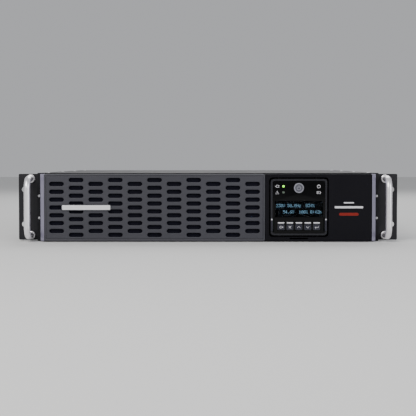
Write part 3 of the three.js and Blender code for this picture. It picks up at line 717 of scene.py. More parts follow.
def fit(
    name: str, mesh: bpy.types.Mesh, body: str, finish: Finish, *nodes: str
) -> bpy.types.Object:
    """Makes a piece of a mesh, on its body and in its finish.

    Args:
        name: The piece's name.
        mesh: Its mesh, in place.
        body: The body it rides on.
        finish: Its finish.
        *nodes: The nodes that it stands for.

    Returns:
        The piece.
    """
    piece = placed(name, mesh)
    mesh.materials.clear()
    mesh.materials.append(finish.material())
    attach(piece, body)
    if nodes:
        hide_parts(*nodes)
    LOG.info("%s: %d faces on %s", name, len(mesh.polygons), body)
    return piece


def dress(
    name: str, node: str, body: str, finish: Finish, ease: float, segments: int = 2
) -> None:
    """Makes a piece of a node's own shape with its edges rounded.

    Args:
        name: The piece's name.
        node: The node that it stands for.
        body: The body it rides on.
        finish: Its finish.
        ease: How wide the rounding is, in millimetres.
        segments: How many strips the rounding has.
    """
    fit(name, softened(node, ease * MM, segments), body, finish, node)


# ---- Geometry-node patterns ---------------------------------------------------------------


class Pattern:
    """A geometry tree with named inputs that ends in Realize Instances and Set Material."""

    def __init__(self, name: str, inputs: dict[str, str]) -> None:
        """Opens the tree.

        Args:
            name: The tree's name.
            inputs: The kind of each input, by its name.
        """
        self.group = bpy.data.node_groups.new(name, "GeometryNodeTree")
        self.bench = NodeBench(self.group)
        face = self.group.interface
        face.new_socket("Base", in_out="INPUT", socket_type="NodeSocketGeometry")
        face.new_socket("Result", in_out="OUTPUT", socket_type="NodeSocketGeometry")
        for label, kind in {**inputs, "Finish": "Material"}.items():
            face.new_socket(label, in_out="INPUT", socket_type=f"NodeSocket{kind}")
        self.source = self.bench.add("NodeGroupInput").outputs

    def close(self, shape: bpy.types.NodeSocket) -> Pattern:
        """Ends the tree with the last two nodes.

        Args:
            shape: The geometry to hand on.

        Returns:
            The pattern itself.
        """
        real = self.bench.add("GeometryNodeRealizeInstances", {"Geometry": shape})
        painted = {"Geometry": real.outputs[0], "Material": self.source["Finish"]}
        last = self.bench.add("GeometryNodeSetMaterial", painted)
        self.bench.add("NodeGroupOutput", {"Result": last.outputs[0]})
        return self

    def made(
        self, base: bpy.types.Mesh, shape: bpy.types.Mesh, finish: Finish, **values: object
    ) -> bpy.types.Mesh:
        """Runs the tree once.

        Args:
            base: The mesh it starts from.
            shape: The shape it copies.
            finish: The finish it sets.
            **values: Its other inputs, with spaces written as underscores.

        Returns:
            The plain mesh.
        """
        copied = placed("stamp", shape)
        item = placed("pattern", base)
        step = item.modifiers.new("pattern", "NODES")
        step.node_group = self.group
        values.update(Finish=finish.material(), Shape=copied)
        for socket in self.group.interface.items_tree:
            key = socket.name.replace(" ", "_")
            if socket.in_out == "INPUT" and key in values:
                step[socket.identifier] = values[key]
        mesh = evaluated(item)
        bpy.data.objects.remove(copied)
        return mesh


def stamp_pattern() -> Pattern:
    """Builds the tree that stands a shape on each of the base's points.

    Returns:
        The pattern. Each point carries its own turn and size.
    """
    made = Pattern("stamp", {"Shape": "Object"})
    bench = made.bench
    shape = bench.add("GeometryNodeObjectInfo", {"Object": made.source["Shape"]})
    turn = bench.add("GeometryNodeInputNamedAttribute", {"Name": "turn"}, data_type="FLOAT_VECTOR")
    size = bench.add("GeometryNodeInputNamedAttribute", {"Name": "size"}, data_type="FLOAT_VECTOR")
    rotation = bench.add("FunctionNodeEulerToRotation", {0: turn.outputs[0]})
    copies = bench.add(
        "GeometryNodeInstanceOnPoints",
        {
            "Points": made.source["Base"],
            "Instance": shape.outputs["Geometry"],
            "Rotation": rotation.outputs[0],
            "Scale": size.outputs[0],
        },
    )
    return made.close(copies.outputs[0])


def radial_pattern() -> Pattern:
    """Builds the tree that sets copies of a shape evenly round an axis along Y.

    Returns:
        The pattern.
    """
    made = Pattern("radial", {"Shape": "Object", "Count": "Int", "Centre": "Vector"})
    bench = made.bench
    shape = bench.add("GeometryNodeObjectInfo", {"Object": made.source["Shape"]})
    row = bench.add("GeometryNodeMeshLine", {"Count": made.source["Count"], "Offset": (0, 0, 0)})
    index = bench.add("GeometryNodeInputIndex").outputs[0]
    share = bench.maths("DIVIDE", index, made.source["Count"])
    angle = bench.maths("MULTIPLY", share, 2 * math.pi)
    turn = bench.add("ShaderNodeCombineXYZ", {"Y": angle})
    rotation = bench.add("FunctionNodeEulerToRotation", {0: turn.outputs[0]})
    copies = bench.add(
        "GeometryNodeInstanceOnPoints",
        {
            "Points": row.outputs[0],
            "Instance": shape.outputs["Geometry"],
            "Rotation": rotation.outputs[0],
        },
    )
    moved = {"Geometry": copies.outputs[0], "Translation": made.source["Centre"]}
    return made.close(bench.add("GeometryNodeTransform", moved).outputs[0])


def grille_pattern() -> Pattern:
    """Builds the tree that cuts staggered columns of slots in a flat panel.

    The base is the panel's edge strip, and the shape is one slot's lip and wall; both lie flat,
    and the two faces between them are filled here.

    Returns:
        The pattern.
    """
    inputs = {"Shape": "Object", "Columns": "Int", "Rows": "Int", "Thickness": "Float"}
    made = Pattern("grille", {**inputs, "Pitch Across": "Float", "Pitch Up": "Float"})
    bench, given = made.bench, made.source
    shape = bench.add("GeometryNodeObjectInfo", {"Object": given["Shape"]}).outputs["Geometry"]
    joined = bench.add("GeometryNodeJoinGeometry")
    bench.tree.links.new(given["Base"], joined.inputs[0])
    for spare in (1, 0):
        doubled = bench.maths("ADD", given["Columns"], spare)
        columns = bench.maths("FLOOR", bench.maths("DIVIDE", doubled, 2.0))
        rows = bench.maths("SUBTRACT", given["Rows"], spare)
        gaps = bench.maths("SUBTRACT", columns, 1.0)
        wide = bench.maths("MULTIPLY", gaps, bench.maths("MULTIPLY", given["Pitch Across"], 2.0))
        high = bench.maths("MULTIPLY", bench.maths("SUBTRACT", rows, 1.0), given["Pitch Up"])
        sizes = {"Size X": wide, "Size Y": high, "Vertices X": columns, "Vertices Y": rows}
        grid = bench.add("GeometryNodeMeshGrid", sizes)
        points = {"Points": grid.outputs[0], "Instance": shape}
        copies = bench.add("GeometryNodeInstanceOnPoints", points)
        bench.tree.links.new(copies.outputs[0], joined.inputs[0])
    real = bench.add("GeometryNodeRealizeInstances", {"Geometry": joined.outputs[0]}).outputs[0]
    whole = bench.add("GeometryNodeJoinGeometry")
    bench.tree.links.new(real, whole.inputs[0])
    place = bench.add("GeometryNodeInputPosition").outputs[0]
    height = bench.add("ShaderNodeSeparateXYZ", {0: place}).outputs[2]
    share = bench.maths("DIVIDE", height, given["Thickness"])
    alone = bench.add("GeometryNodeInputMeshEdgeNeighbors").outputs[0]
    border = bench.maths("LESS_THAN", alone, 1.5)
    for test, level in (("GREATER_THAN", 1.0), ("LESS_THAN", 0.0)):
        side = bench.maths(test, share, 0.5)
        wanted = bench.maths("MULTIPLY", side, border)
        rims = bench.add("GeometryNodeMeshToCurve", {"Mesh": real, "Selection": wanted})
        face = bench.add("GeometryNodeFillCurve", {"Curve": rims.outputs[0]})
        lift = bench.maths("MULTIPLY", given["Thickness"], level)
        shift = bench.add("ShaderNodeCombineXYZ", {"Z": lift}).outputs[0]
        moved = {"Geometry": face.outputs[0], "Translation": shift}
        flat = bench.add("GeometryNodeTransform", moved).outputs[0]
        bench.tree.links.new(flat, whole.inputs[0])
    return made.close(whole.outputs[0])


class Facing(Enum):
    """Which way a copied shape faces, as the turn that brings it there from facing up."""

    FRONT = (math.pi / 2, 0.0, 0.0)
    REAR = (-math.pi / 2, 0.0, 0.0)
    UP = (0.0, 0.0, 0.0)
    LEFT = (0.0, -math.pi / 2, 0.0)
    RIGHT = (0.0, math.pi / 2, 0.0)


@dataclass
class Stamps:
    """Copies of one small shape, on chosen spots or evenly round an axis."""

    scattered: Pattern
    radial: Pattern

    def made(
        self,
        shape: bpy.types.Mesh,
        spots: Sequence[Sequence[float]],
        finish: Finish,
        facing: Facing = Facing.UP,
        sizes: Optional[Sequence[Sequence[float]]] = None,
    ) -> bpy.types.Mesh:
        """Stands the shape on each spot.

        Args:
            shape: The shape, about the origin.
            spots: Where the copies go.
            finish: Their finish.
            facing: Which way they face.
            sizes: A size for each copy, or all at full size.

        Returns:
            The mesh with every copy.
        """
        base = bpy.data.meshes.new("spots")
        base.from_pydata([tuple(spot) for spot in spots], [], [])
        turns = [facing.value] * len(spots)
        for name, rows in (("turn", turns), ("size", sizes or [(1, 1, 1)] * len(spots))):
            layer = base.attributes.new(name, "FLOAT_VECTOR", "POINT")
            layer.data.foreach_set("vector", [v for row in rows for v in row])
        return shaded(self.scattered.made(base, shape, finish))

    def round_axis(
        self, shape: bpy.types.Mesh, count: int, centre: Sequence[float], finish: Finish
    ) -> bpy.types.Mesh:
        """Sets copies of a shape evenly round an axis along Y.

        Args:
            shape: The shape, in its first place about the origin.
            count: How many there are.
            centre: Where the axis passes.
            finish: Their finish.

        Returns:
            The mesh with every copy.
        """
        base = bpy.data.meshes.new("none")
        return shaded(self.radial.made(base, shape, finish, Count=count, Centre=tuple(centre)))


STAMPS = Stamps(stamp_pattern(), radial_pattern())
GRILLE = grille_pattern()


def screw_head(radius: float, height: float) -> bpy.types.Mesh:
    """Makes a domed screw head with a cross recess, which faces up from the origin.

    Args:
        radius: The head's radius.
        height: How far it stands up.

    Returns:
        The mesh.
    """
    shape = bmesh.new()
    sides = 16
    arm, notch, waist, floor = 0.46, 0.15, 0.2, 0.3  # the recess, as shares of the head
    rings = [(1.0, 0.0), (1.0, 0.35), (0.93, 0.68), (0.7, 0.92), (0.5, 1.0)]
    made = []
    for share, lift in rings:
        spots = circle(radius * share, 0, 0, sides)
        made.append([shape.verts.new((a, b, height * lift)) for a, b in spots])
    # The recess is a four-armed star: every fourth spot reaches out, the rest stay near the axis.
    star = [radius * (arm, waist, notch, waist)[i % 4] for i in range(sides)]
    for depth in (1.0, floor):
        spots = [circle(r, 0, 0, sides)[i] for i, r in enumerate(star)]
        made.append([shape.verts.new((a, b, height * depth)) for a, b in spots])
    for one, two in zip(made, made[1:]):
        for i in range(sides):
            j = (i + 1) % sides
            shape.faces.new((one[i], one[j], two[j], two[i]))
    shape.faces.new(made[-1])
    shape.faces.new(list(reversed(made[0])))
    return from_bmesh(shape)


def screws(
    name: str,
    spots: Sequence[Sequence[float]],
    radius: float,
    height: float,
    facing: Facing,
    finish: Finish = Finishes.STEEL,
) -> None:
    """Makes a piece of several like screw heads on the case.

    Args:
        name: The piece's name.
        spots: Where the heads sit.
        radius: A head's radius, in millimetres.
        height: How far it stands up, in millimetres.
        facing: Which way the heads face.
        finish: Their finish.
    """
    heads = STAMPS.made(screw_head(radius * MM, height * MM), spots, finish, facing)
    fit(name, heads, "chassis", finish)


# ---- Sub-assemblies -----------------------------------------------------------------------


@dataclass
class Chassis:
    """The steel case, its lid and the moulded frame behind the bezel."""

    lid_rows: tuple[float, ...] = (0.05, 0.36, 0.67, 0.97)  # screws, as shares of the depth
    side_rows: tuple[float, ...] = (0.3, 0.62, 0.93)
    lid_inset: float = 9 * MM
    lid_sunk: float = 0.9 * MM
    side_sunk: float = 0.45 * MM
    side_drop: float = 8 * MM
    side_rise: float = 9 * MM
    strip_inset: float = 2.5 * MM
    strip_reach: float = 14 * MM

    def build(self) -> None:
        """Makes the case's pieces."""
        dress("case_shell", "chassis_base", "chassis", Finishes.POWDER, 0.3)
        dress("case_lid", "top_cover", "chassis", Finishes.POWDER, 0.45, 3)
        dress("bezel_carrier", "front_frame", "chassis", Finishes.INNER, 0.5)
        self.fasteners()

    def fasteners(self) -> None:
        """Makes the screws of the lid, the sides and the bezel's carrier."""
        lid, carrier = Extent.of("top_cover"), Extent.of("front_frame")
        rows = [lid.low.y + lid.size.y * share for share in self.lid_rows]
        edge, top = lid.high.x - self.lid_inset, lid.high.z - self.lid_sunk
        spots = [(side * edge, y, top) for side in (-1, 1) for y in rows]
        screws("lid_screws", spots, 2.9, 1.3, Facing.UP)
        edge = lid.high.x - self.side_sunk
        for side, facing, word in ((-1, Facing.LEFT, "left"), (1, Facing.RIGHT, "right")):
            spots = [
                (side * edge, lid.low.y + lid.size.y * share, z)
                for share in self.side_rows
                for z in (lid.high.z - self.side_drop, self.side_rise)
            ]
            screws(f"side_screws_{word}", spots, 2.9, 0.9, facing, Finishes.POWDER)
        edge = carrier.high.x - self.strip_inset
        spots = [
            (side * edge, carrier.low.y + 0.1 * MM, carrier.middle.z + z)
            for side in (-1, 1)
            for z in (-self.strip_reach, self.strip_reach)
        ]
        screws("carrier_screws", spots, 1.7, 1.1, Facing.FRONT)


@dataclass
class RackEars:
    """The two angle brackets that hold the machine in a rack, and their screws."""

    slot_pitch: float = 44.45 * MM
    slot_centres: float = 465.1 * MM
    slot_length: float = 10.3 * MM
    slot_height: float = 6.8 * MM
    thickness: float = 2.5 * MM
    leg_drop: float = 4 * MM
    bend_radius: float = 1.8 * MM
    screw_rows: tuple[float, float] = (22 * MM, 50 * MM)
    screw_reach: float = 26 * MM

    def build(self) -> None:
        """Makes both brackets."""
        for side, word in ((-1, "left"), (1, "right")):
            box = Extent.of(f"{word}_ear")
            inner = min(abs(box.low.x), abs(box.high.x))
            outer = max(abs(box.low.x), abs(box.high.x))
            middle = side * (inner + outer) / 2
            flange = [rounded(outer - inner, box.size.z, 1.6 * MM, middle, box.middle.z)]
            for end in (-1, 1):
                spot = (side * self.slot_centres / 2, box.middle.z + end * self.slot_pitch / 2)
                end_radius = self.slot_height / 2
                flange.append(rounded(self.slot_length, self.slot_height, end_radius, *spot))
            front = plate(flange, box.low.y, box.low.y + self.thickness, 0.35 * MM)
            faces = sorted((side * inner, side * (inner + self.thickness)))
            low = (faces[0], box.low.y + 0.3 * MM, box.low.z + self.leg_drop)
            leg = block(low, (faces[1], box.high.y, box.high.z - self.leg_drop), 0.5 * MM)
            face = side * (inner + self.thickness)
            mesh = together([front, leg, self.fillet(side, face, box)])
            fit(f"{word}_bracket", mesh, "chassis", Finishes.POWDER, f"{word}_ear")
            self.leg_screws(word, side, face, box)

    def fillet(self, side: int, x: float, box: Extent) -> bpy.types.Mesh:
        """Makes the inside radius of the bend, behind the flange.

        Args:
            side: -1 on the left, 1 on the right.
            x: The leg's outer face.
            box: The bracket's box.

        Returns:
            The mesh.
        """
        sunk, lap = 0.1 * MM, 0.2 * MM
        reach, back = self.bend_radius, box.low.y + self.thickness - sunk
        hollow = arc(x + side * reach, back + reach, reach, 2 if side > 0 else 4, 3, 6)
        inside = x - side * lap
        section = [(inside, back + reach), *hollow, (x + side * reach, back - lap)]
        section.append((inside, back - lap))
        end = self.leg_drop + 0.4 * MM
        shape = bmesh.new()
        ends = []
        for z in (box.low.z + end, box.high.z - end):
            ends.append([shape.verts.new((a, b, z)) for a, b in section])
        count = len(section)
        for i in range(count):
            j = (i + 1) % count
            shape.faces.new((ends[0][i], ends[0][j], ends[1][j], ends[1][i]))
        shape.faces.new(ends[0])
        shape.faces.new(ends[1])
        return tidied(from_bmesh(shape))

    def leg_screws(self, word: str, side: int, x: float, box: Extent) -> None:
        """Makes the four screws that hold the bracket's leg to the case.

        Args:
            word: left or right.
            side: -1 on the left, 1 on the right.
            x: The leg's outer face.
            box: The bracket's box.
        """
        spots = [
            (x - side * 0.1 * MM, box.low.y + y, box.middle.z + z)
            for y in self.screw_rows
            for z in (-self.screw_reach, self.screw_reach)
        ]
        facing = Facing.RIGHT if side > 0 else Facing.LEFT
        screws(f"{word}_bracket_screws", spots, 3.4, 1.5, facing)


@dataclass
class PullHandles:
    """Two bent-rod handles with turned feet."""

    pitch: float = 72 * MM
    bend: float = 12.5 * MM
    foot_radius: float = 5.3 * MM
    foot_height: float = 1.6 * MM

    def build(self) -> None:
        """Makes both handles."""
        for word in ("left", "right"):
            box = Extent.of(f"{word}_handle")
            radius = (box.size.z - self.pitch) / 2
            x, foot = box.middle.x, box.high.y
            front = box.low.y + radius
            low, high = box.low.z + radius, box.high.z - radius
            path = [(x, foot, high)]
            for y, z, start in ((front, high, 1), (front, low, 2)):
                corner = (y + self.bend, z - self.bend if start == 1 else z + self.bend)
                bent = arc(*corner, self.bend, start, start + 1, 12)
                path += [(x, a, b) for a, b in bent]
            path.append((x, foot, low))
            feet = [self.foot(x, foot, z) for z in (low, high)]
            mesh = together([swept(path, radius, sides=5), *feet])
            fit(f"{word}_pull_handle", mesh, "chassis", Finishes.HANDLE, f"{word}_handle")

    def foot(self, x: float, y: float, z: float) -> bpy.types.Mesh:
        """Makes one turned foot, where the bar meets the bracket.

        Args:
            x: The foot's middle across.
            y: The bracket's front.
            z: The foot's middle up.

        Returns:
            The mesh.
        """
        tip, rim = y - self.foot_height, self.foot_radius
        profile = [(0, tip), (rim * 0.78, tip), (rim * 0.94, tip + 0.3 * MM), (rim, tip + 0.8 * MM)]
        return turned([*profile, (rim, y), (0, y)], x, z)


@dataclass
class GrilleCover:
    """The slotted front of the battery bay, with its end trim, badge and dust filter."""

    slot_length: float = 18.4 * MM
    slot_height: float = 5.2 * MM
    pitch_across: float = 24.6 * MM
    pitch_up: float = 9.85 * MM
    columns: int = 11
    rows: int = 8
    lip: float = 0.7 * MM
    filter_gap: float = 0.6 * MM
    filter_margin: float = 4 * MM
    filter_thickness: float = 1.6 * MM
    body: str = "grille_cover"

    def strip(self, steps: Sequence[tuple[Outline, float]]) -> bpy.types.Mesh:
        """Joins outlines at rising heights into an open strip of faces.

        Args:
            steps: Each outline with its height.

        Returns:
            The mesh, lying flat.
        """
        shape = bmesh.new()
        rings = [[shape.verts.new((a, b, lift)) for a, b in line] for line, lift in steps]
        for one, two in zip(rings, rings[1:]):
            for i in range(len(one)):
                j = (i + 1) % len(one)
                shape.faces.new((one[i], one[j], two[j], two[i]))
        return from_bmesh(shape)

    def eased_steps(
        self, width: float, height: float, corner: float, thick: float, sign: int
    ) -> list[tuple[Outline, float]]:
        """Lists the outlines of an edge with a rounded front.

        Args:
            width: The outline's width.
            height: Its height.
            corner: Its corner radius.
            thick: The panel's thickness.
            sign: 1 for a hole, which opens towards the front, or -1 for the rim.

        Returns:
            Outlines and heights, from the front to the back.
        """
        steps = []
        for quarter in range(4):
            turn = quarter * math.pi / 6
            out = 2 * sign * self.lip * (1 - math.sin(turn))
            drop = self.lip * (1 - math.cos(turn))
            grown = rounded(width + out, height + out, corner + out / 2)
            steps.append((grown, thick - drop))
        steps.append((rounded(width, height, corner), 0.0))
        return steps

    def build(self) -> None:
        """Makes the cover's pieces."""
        panel = Extent.of("grille_panel")
        thick = panel.size.y
        rim = self.strip(self.eased_steps(panel.size.x, panel.size.z, 0.8 * MM, thick, -1))
        slot = self.slot_height / 2
        hole = self.strip(self.eased_steps(self.slot_length, self.slot_height, slot, thick, 1))
        mesh = GRILLE.made(
            rim,
            hole,
            Finishes.COVER,
            Columns=self.columns,
            Rows=self.rows,
            Thickness=thick,
            Pitch_Across=self.pitch_across,
            Pitch_Up=self.pitch_up,
        )
        spot = Matrix.Translation((panel.middle.x, panel.high.y, panel.middle.z))
        mesh.transform(spot @ Matrix.Rotation(math.pi / 2, 4, "X"))
        mesh = eased(tidied(mesh, 5 * WELD), 0)
        fit("slotted_panel", mesh, self.body, Finishes.COVER, "grille_panel")
        dress("cover_ring", "cover_frame", self.body, Finishes.COVER, 0.8, 3)
        for word, body in (("left", self.body), ("right", "chassis")):
            dress(f"{word}_trim_strip", f"{word}_end_trim", body, Finishes.TRIM, 0.6, 3)
        self.badge()
        self.filter(panel)

    def badge(self) -> None:
        """Makes the plain badge: a brushed plate in a dark surround."""
        box = Extent.of("badge_plate")
        size = (box.size.x, box.size.z)
        spot = box.spot
        inset, proud = 1.6 * MM, 0.25 * MM
        outer = plate([rounded(*size, 1.6 * MM, *spot)], box.low.y, box.high.y, 0.3 * MM)
        fit("badge_surround", outer, self.body, Finishes.COVER, "badge_plate")
        inner = rounded(size[0] - inset, size[1] - inset, 1.0 * MM, *spot)
        face = plate([inner], box.low.y - proud, box.low.y + 0.3 * MM, 0.12 * MM)
        fit("badge_face", face, self.body, Finishes.BADGE)

    def filter(self, panel: Extent) -> None:
        """Makes the foam dust filter behind the slots.

        Args:
            panel: The slotted panel's box.
        """
        near, margin = panel.high.y + self.filter_gap, self.filter_margin
        sides = (panel.size.x - margin, panel.size.z - margin)
        outline = rounded(*sides, 2 * MM, *panel.spot)
        sheet = plate([outline], near, near + self.filter_thickness, 0.3 * MM)
        fit("dust_filter", sheet, self.body, Finishes.FILTER)


@dataclass
class Fascia:
    """The black right-hand part of the bezel, with the recess that holds the display."""

    lip_width: float = 1.1 * MM
    lip_height: float = 0.45 * MM
    mark_height: float = 0.08 * MM
    mark_inset: float = 29 * MM
    recess_gap: float = 2 * MM
    recess_corner: float = 4 * MM
    # Each mark's width, height and rise above the middle, in millimetres.
    bars: tuple[Mark, ...] = ((12.8, 1.5, 6.0), (35.5, 2.6, 0.4))
    band: Mark = (24.6, 3.6, -8.4)

    def build(self) -> None:
        """Makes the fascia's pieces."""
        box = Extent.of("display_fascia")
        display = Extent.of("display_housing")
        dress("fascia_shell", "display_fascia", "chassis", Finishes.FASCIA, 0.5, 3)
        middle = display.spot
        recess = display.size.x + 2 * self.recess_gap
        outer = recess + 2 * self.lip_width
        corner = self.recess_corner
        ring = [
            rounded(outer, outer, corner + self.lip_width, *middle),
            rounded(recess, recess, corner, *middle),
        ]
        front = box.low.y
        lip = plate(ring, front - self.lip_height, front + 0.1 * MM, 0.2 * MM)
        fit("recess_lip", lip, "chassis", Finishes.FASCIA)
        self.marks(box)

    def marks(self, box: Extent) -> None:
        """Makes the plain printed bars right of the display.

        Args:
            box: The fascia's box.
        """
        x, z = box.high.x - self.mark_inset, box.middle.z
        near, far = box.low.y - self.mark_height, box.low.y + 0.02 * MM
        ease = 0.02 * MM
        made = []
        for width, height, up in self.bars:
            bar = rounded(width * MM, height * MM, 0.5 * MM, x, z + up * MM)
            made.append(plate([bar], near, far, ease))
        fit("printed_bars", together(made), "chassis", Finishes.PALE)
        width, height, up = self.band
        band = rounded(width * MM, height * MM, height / 2 * MM, x, z + up * MM)
        fit("printed_band", plate([band], near, far, ease), "chassis", Finishes.RED)


class Glyph(Enum):
    """The picture on each key, as strokes in millimetres, some of them closed."""

    MUTE = "mute_key"
    ESCAPE = "escape_key"
    RAISE = "up_key"
    LOWER = "down_key"
    ENTER = "enter_key"

    def strokes(self) -> list[Outline]:
        """Returns the glyph's strokes, about its middle.

        Returns:
            The strokes in millimetres.
        """
        if self is Glyph.MUTE:
            horn = [(-1.5, -0.5), (-0.7, -0.5), (0.2, -1.3), (0.2, 1.3), (-0.7, 0.5), (-1.5, 0.5)]
            return [[*horn, (-1.5, -0.5)], [(0.8, -0.6), (2.0, 0.6)], [(0.8, 0.6), (2.0, -0.6)]]
        if self is Glyph.ESCAPE:
            return [[(-1.1, -1.1), (1.1, 1.1)], [(-1.1, 1.1), (1.1, -1.1)]]
        if self is Glyph.RAISE:
            return [[(-1.4, -0.7), (0, 0.9), (1.4, -0.7)]]
        if self is Glyph.LOWER:
            return [[(-1.4, 0.7), (0, -0.9), (1.4, 0.7)]]
        return [[(1.5, 1.1), (1.5, -0.3), (-1.5, -0.3)], [(-0.6, 0.6), (-1.5, -0.3), (-0.6, -1.2)]]


def enlarged(strokes: Sequence[Outline], factor: float) -> list[Outline]:
    """Returns the strokes made larger about their middle."""
    return [[(a * factor, b * factor) for a, b in line] for line in strokes]


def stroked(
    strokes: Sequence[Outline], x: float, y: float, z: float, width: float = 0.34 * MM
) -> bpy.types.Mesh:
    """Draws strokes as low ridges on a face that looks forwards.

    Args:
        strokes: Points in millimetres about the drawing's middle.
        x: The middle's place across.
        y: The face's place.
        z: The middle's height.
        width: The strokes' width.

    Returns:
        The mesh.
    """
    flat = Matrix.Translation((0, y, 0)) @ Matrix.Diagonal((1, 0.35, 1, 1))
    made = []
    for stroke in strokes:
        shut = len(stroke) > 2 and stroke[0] == stroke[-1]
        points = stroke[:-1] if shut else stroke
        path = [(x + a * MM, 0.0, z + b * MM) for a, b in points]
        line = swept(path, width / 2, shut, 1)
        line.transform(flat)
        made.append(line)
    return together(made)


@dataclass
class DisplayModule:
    """The square module that clips into the fascia: lens, screen, lamps, keys and latches."""

    body: str = "display_module"
    window_width: float = 60.5 * MM
    window_height: float = 20.0 * MM
    window_drop: float = 2.1 * MM
    dot: float = 0.47 * MM
    dot_pitch: float = 0.565 * MM
    narrow: float = 0.88
    cell: float = 2.86 * MM
    stem: float = 2.5 * MM
    stroke: float = 0.55 * MM
    key_bar_drop: float = 19.7 * MM
    latch_ribs: int = 5
    # From the module's middle, in millimetres.
    lamp_across: float = -19.4
    lamp_rows: tuple[float, float] = (26.2, 18.5)
    picture_spots: tuple[Point, ...] = ((-27.2, 26.1), (-27.2, 18.2), (24.9, 26.0), (24.9, 18.3))
    rows: tuple[str, str] = ("230V 50.0Hz  034%", "54.6V  100% 0:42h")

    def build(self) -> None:
        """Makes the module's pieces."""
        self.box = Extent.of("display_housing")
        self.lens = Extent.of("display_lens")
        self.x, self.z = self.box.spot
        dress("module_case", "display_housing", self.body, Finishes.RIM, 0.9, 3)
        self.front()
        self.screen()
        self.lamps()
        self.power_button()
        self.keys()
        self.latches()
        dress("display_card", "display_board", self.body, Finishes.BOARD, 0.1)

    def spot(self, across: float, up: float) -> Point:
        """Returns a place on the module's front from its middle, in millimetres."""
        return self.x + across * MM, self.z + up * MM

    def front(self) -> None:
        """Makes the glossy lens with its window and holes, and the clear pane."""
        size = self.lens.size
        latch, button = Extent.of("left_latch"), Extent.of("power_button")
        half, corner = size.x / 2, 1.4 * MM
        cut = latch.high.x + 1.7 * MM - (self.x - half)
        top, bottom = latch.high.z + 0.5 * MM, latch.low.z - 0.5 * MM
        rim = []
        for turn, (right, up) in enumerate(((1, 1), (-1, 1), (-1, -1), (1, -1))):
            spot = (self.x + right * (half - corner), self.z + up * (half - corner))
            rim += arc(*spot, corner, turn, turn + 1, 6)
            if turn == 1:
                edge = self.x - half
                rim += [(edge, top), (edge + cut, top), (edge + cut, bottom), (edge, bottom)]
        edge = self.x + half
        rim += [(edge, bottom), (edge - cut, bottom), (edge - cut, top), (edge, top)]
        holes = [circle(button.size.x / 2 + 0.35 * MM, *button.spot, 40)]
        for glyph in Glyph:
            key = Extent.of(glyph.value)
            sides = (key.size.x + 0.6 * MM, key.size.z + 0.6 * MM)
            holes.append(rounded(*sides, 1.4 * MM, *key.spot))
        opening = (self.window_width, self.window_height)
        place = (self.x, self.z - self.window_drop)
        holes.append(rounded(*opening, 0.8 * MM, *place))
        glass = plate([rim, *holes], self.lens.low.y, self.lens.high.y, 0.18 * MM)
        fit("lens_plate", glass, self.body, Finishes.LENS, "display_lens")
        pane = rounded(*(side + 0.02 * MM for side in opening), 0.8 * MM, *place)
        near = self.lens.low.y + 0.12 * MM
        pane_mesh = plate([pane], near, near + 0.7 * MM, 0.03 * MM)
        fit("clear_pane", pane_mesh, self.body, Finishes.WINDOW)

    def screen(self) -> None:
        """Makes the dark screen and its two rows of lit dots."""
        dress("screen_panel", "lcd_panel", self.body, Finishes.SCREEN, 0.15)
        front = Extent.of("lcd_panel").low.y
        spots = []
        left = self.x - 10 * self.cell + 0.4 * MM
        lines = ((self.rows[0], 4.0, left), (self.rows[1], -4.0, left + 3 * self.cell))
        for text, up, start in lines:
            top = self.z - self.window_drop + up * MM + 3 * self.dot_pitch
            for i, sign in enumerate(text):
                for row, bits in enumerate(DOT_SIGNS[sign]):
                    for column in range(5):
                        if bits >> (4 - column) & 1:
                            x = start + i * self.cell + column * self.dot_pitch * self.narrow
                            spots.append((x, front - 0.03 * MM, top - row * self.dot_pitch))
        shape = block([-self.dot / 2] * 3, [self.dot / 2] * 3, 0)
        sizes = [(self.narrow, 0.3, 1.0)] * len(spots)
        mesh = STAMPS.made(shape, spots, Finishes.DOTS, sizes=sizes)
        fit("screen_dots", mesh, self.body, Finishes.DOTS)

    def lamps(self) -> None:
        """Makes the two lamps and the small pictures beside them."""
        face = self.lens.low.y
        dome = [(0, -0.35), (0.9, -0.27), (1.4, -0.1), (1.55, 0.05), (1.55, 0.3), (0, 0.3)]
        dome = [(r * MM, face + y * MM) for r, y in dome]
        high, low = self.lamp_rows
        for name, up, finish in (("lit", high, Finishes.GREEN), ("dark", low, Finishes.UNLIT)):
            mesh = turned(dome, *self.spot(self.lamp_across, up), 28)
            fit(f"lamp_{name}", mesh, self.body, finish)
        body = [(0, 1.3), *arc(0, 0, 1.3, 1, 3, 8), (0, -1.3)]
        plug = [[(-2.4, 0), (-0.9, 0)], [(1.1, 0.7), (2.4, 0.7)], [(1.1, -0.7), (2.4, -0.7)]]
        plug.append([(1.1, -1.3), (1.1, 1.3), *body, (1.1, -1.3)])
        triangle = [[(-1.9, -1.4), (1.9, -1.4), (0, 1.8), (-1.9, -1.4)], [(0, -0.3), (0, 0.5)]]
        ring = [[*circle(1.7, steps=20), circle(1.7, steps=20)[0]], [(0, 0.4), (0, 2.1)]]
        cell = [[(-2.0, -1.2), (1.6, -1.2), (1.6, 1.2), (-2.0, 1.2), (-2.0, -1.2)]]
        cell += [[(2.1, -0.5), (2.1, 0.5)], [(-1.1, -0.5), (-1.1, 0.5)], [(0, -0.5), (0, 0.5)]]
        pictures = zip((plug, triangle, ring, cell), self.picture_spots)
        made = []
        for strokes, spot in pictures:
            x, z = self.spot(*spot)
            made.append(stroked(enlarged(strokes, 1.15), x, face, z, self.stroke))
        fit("lamp_pictures", together(made), self.body, Finishes.PALE)

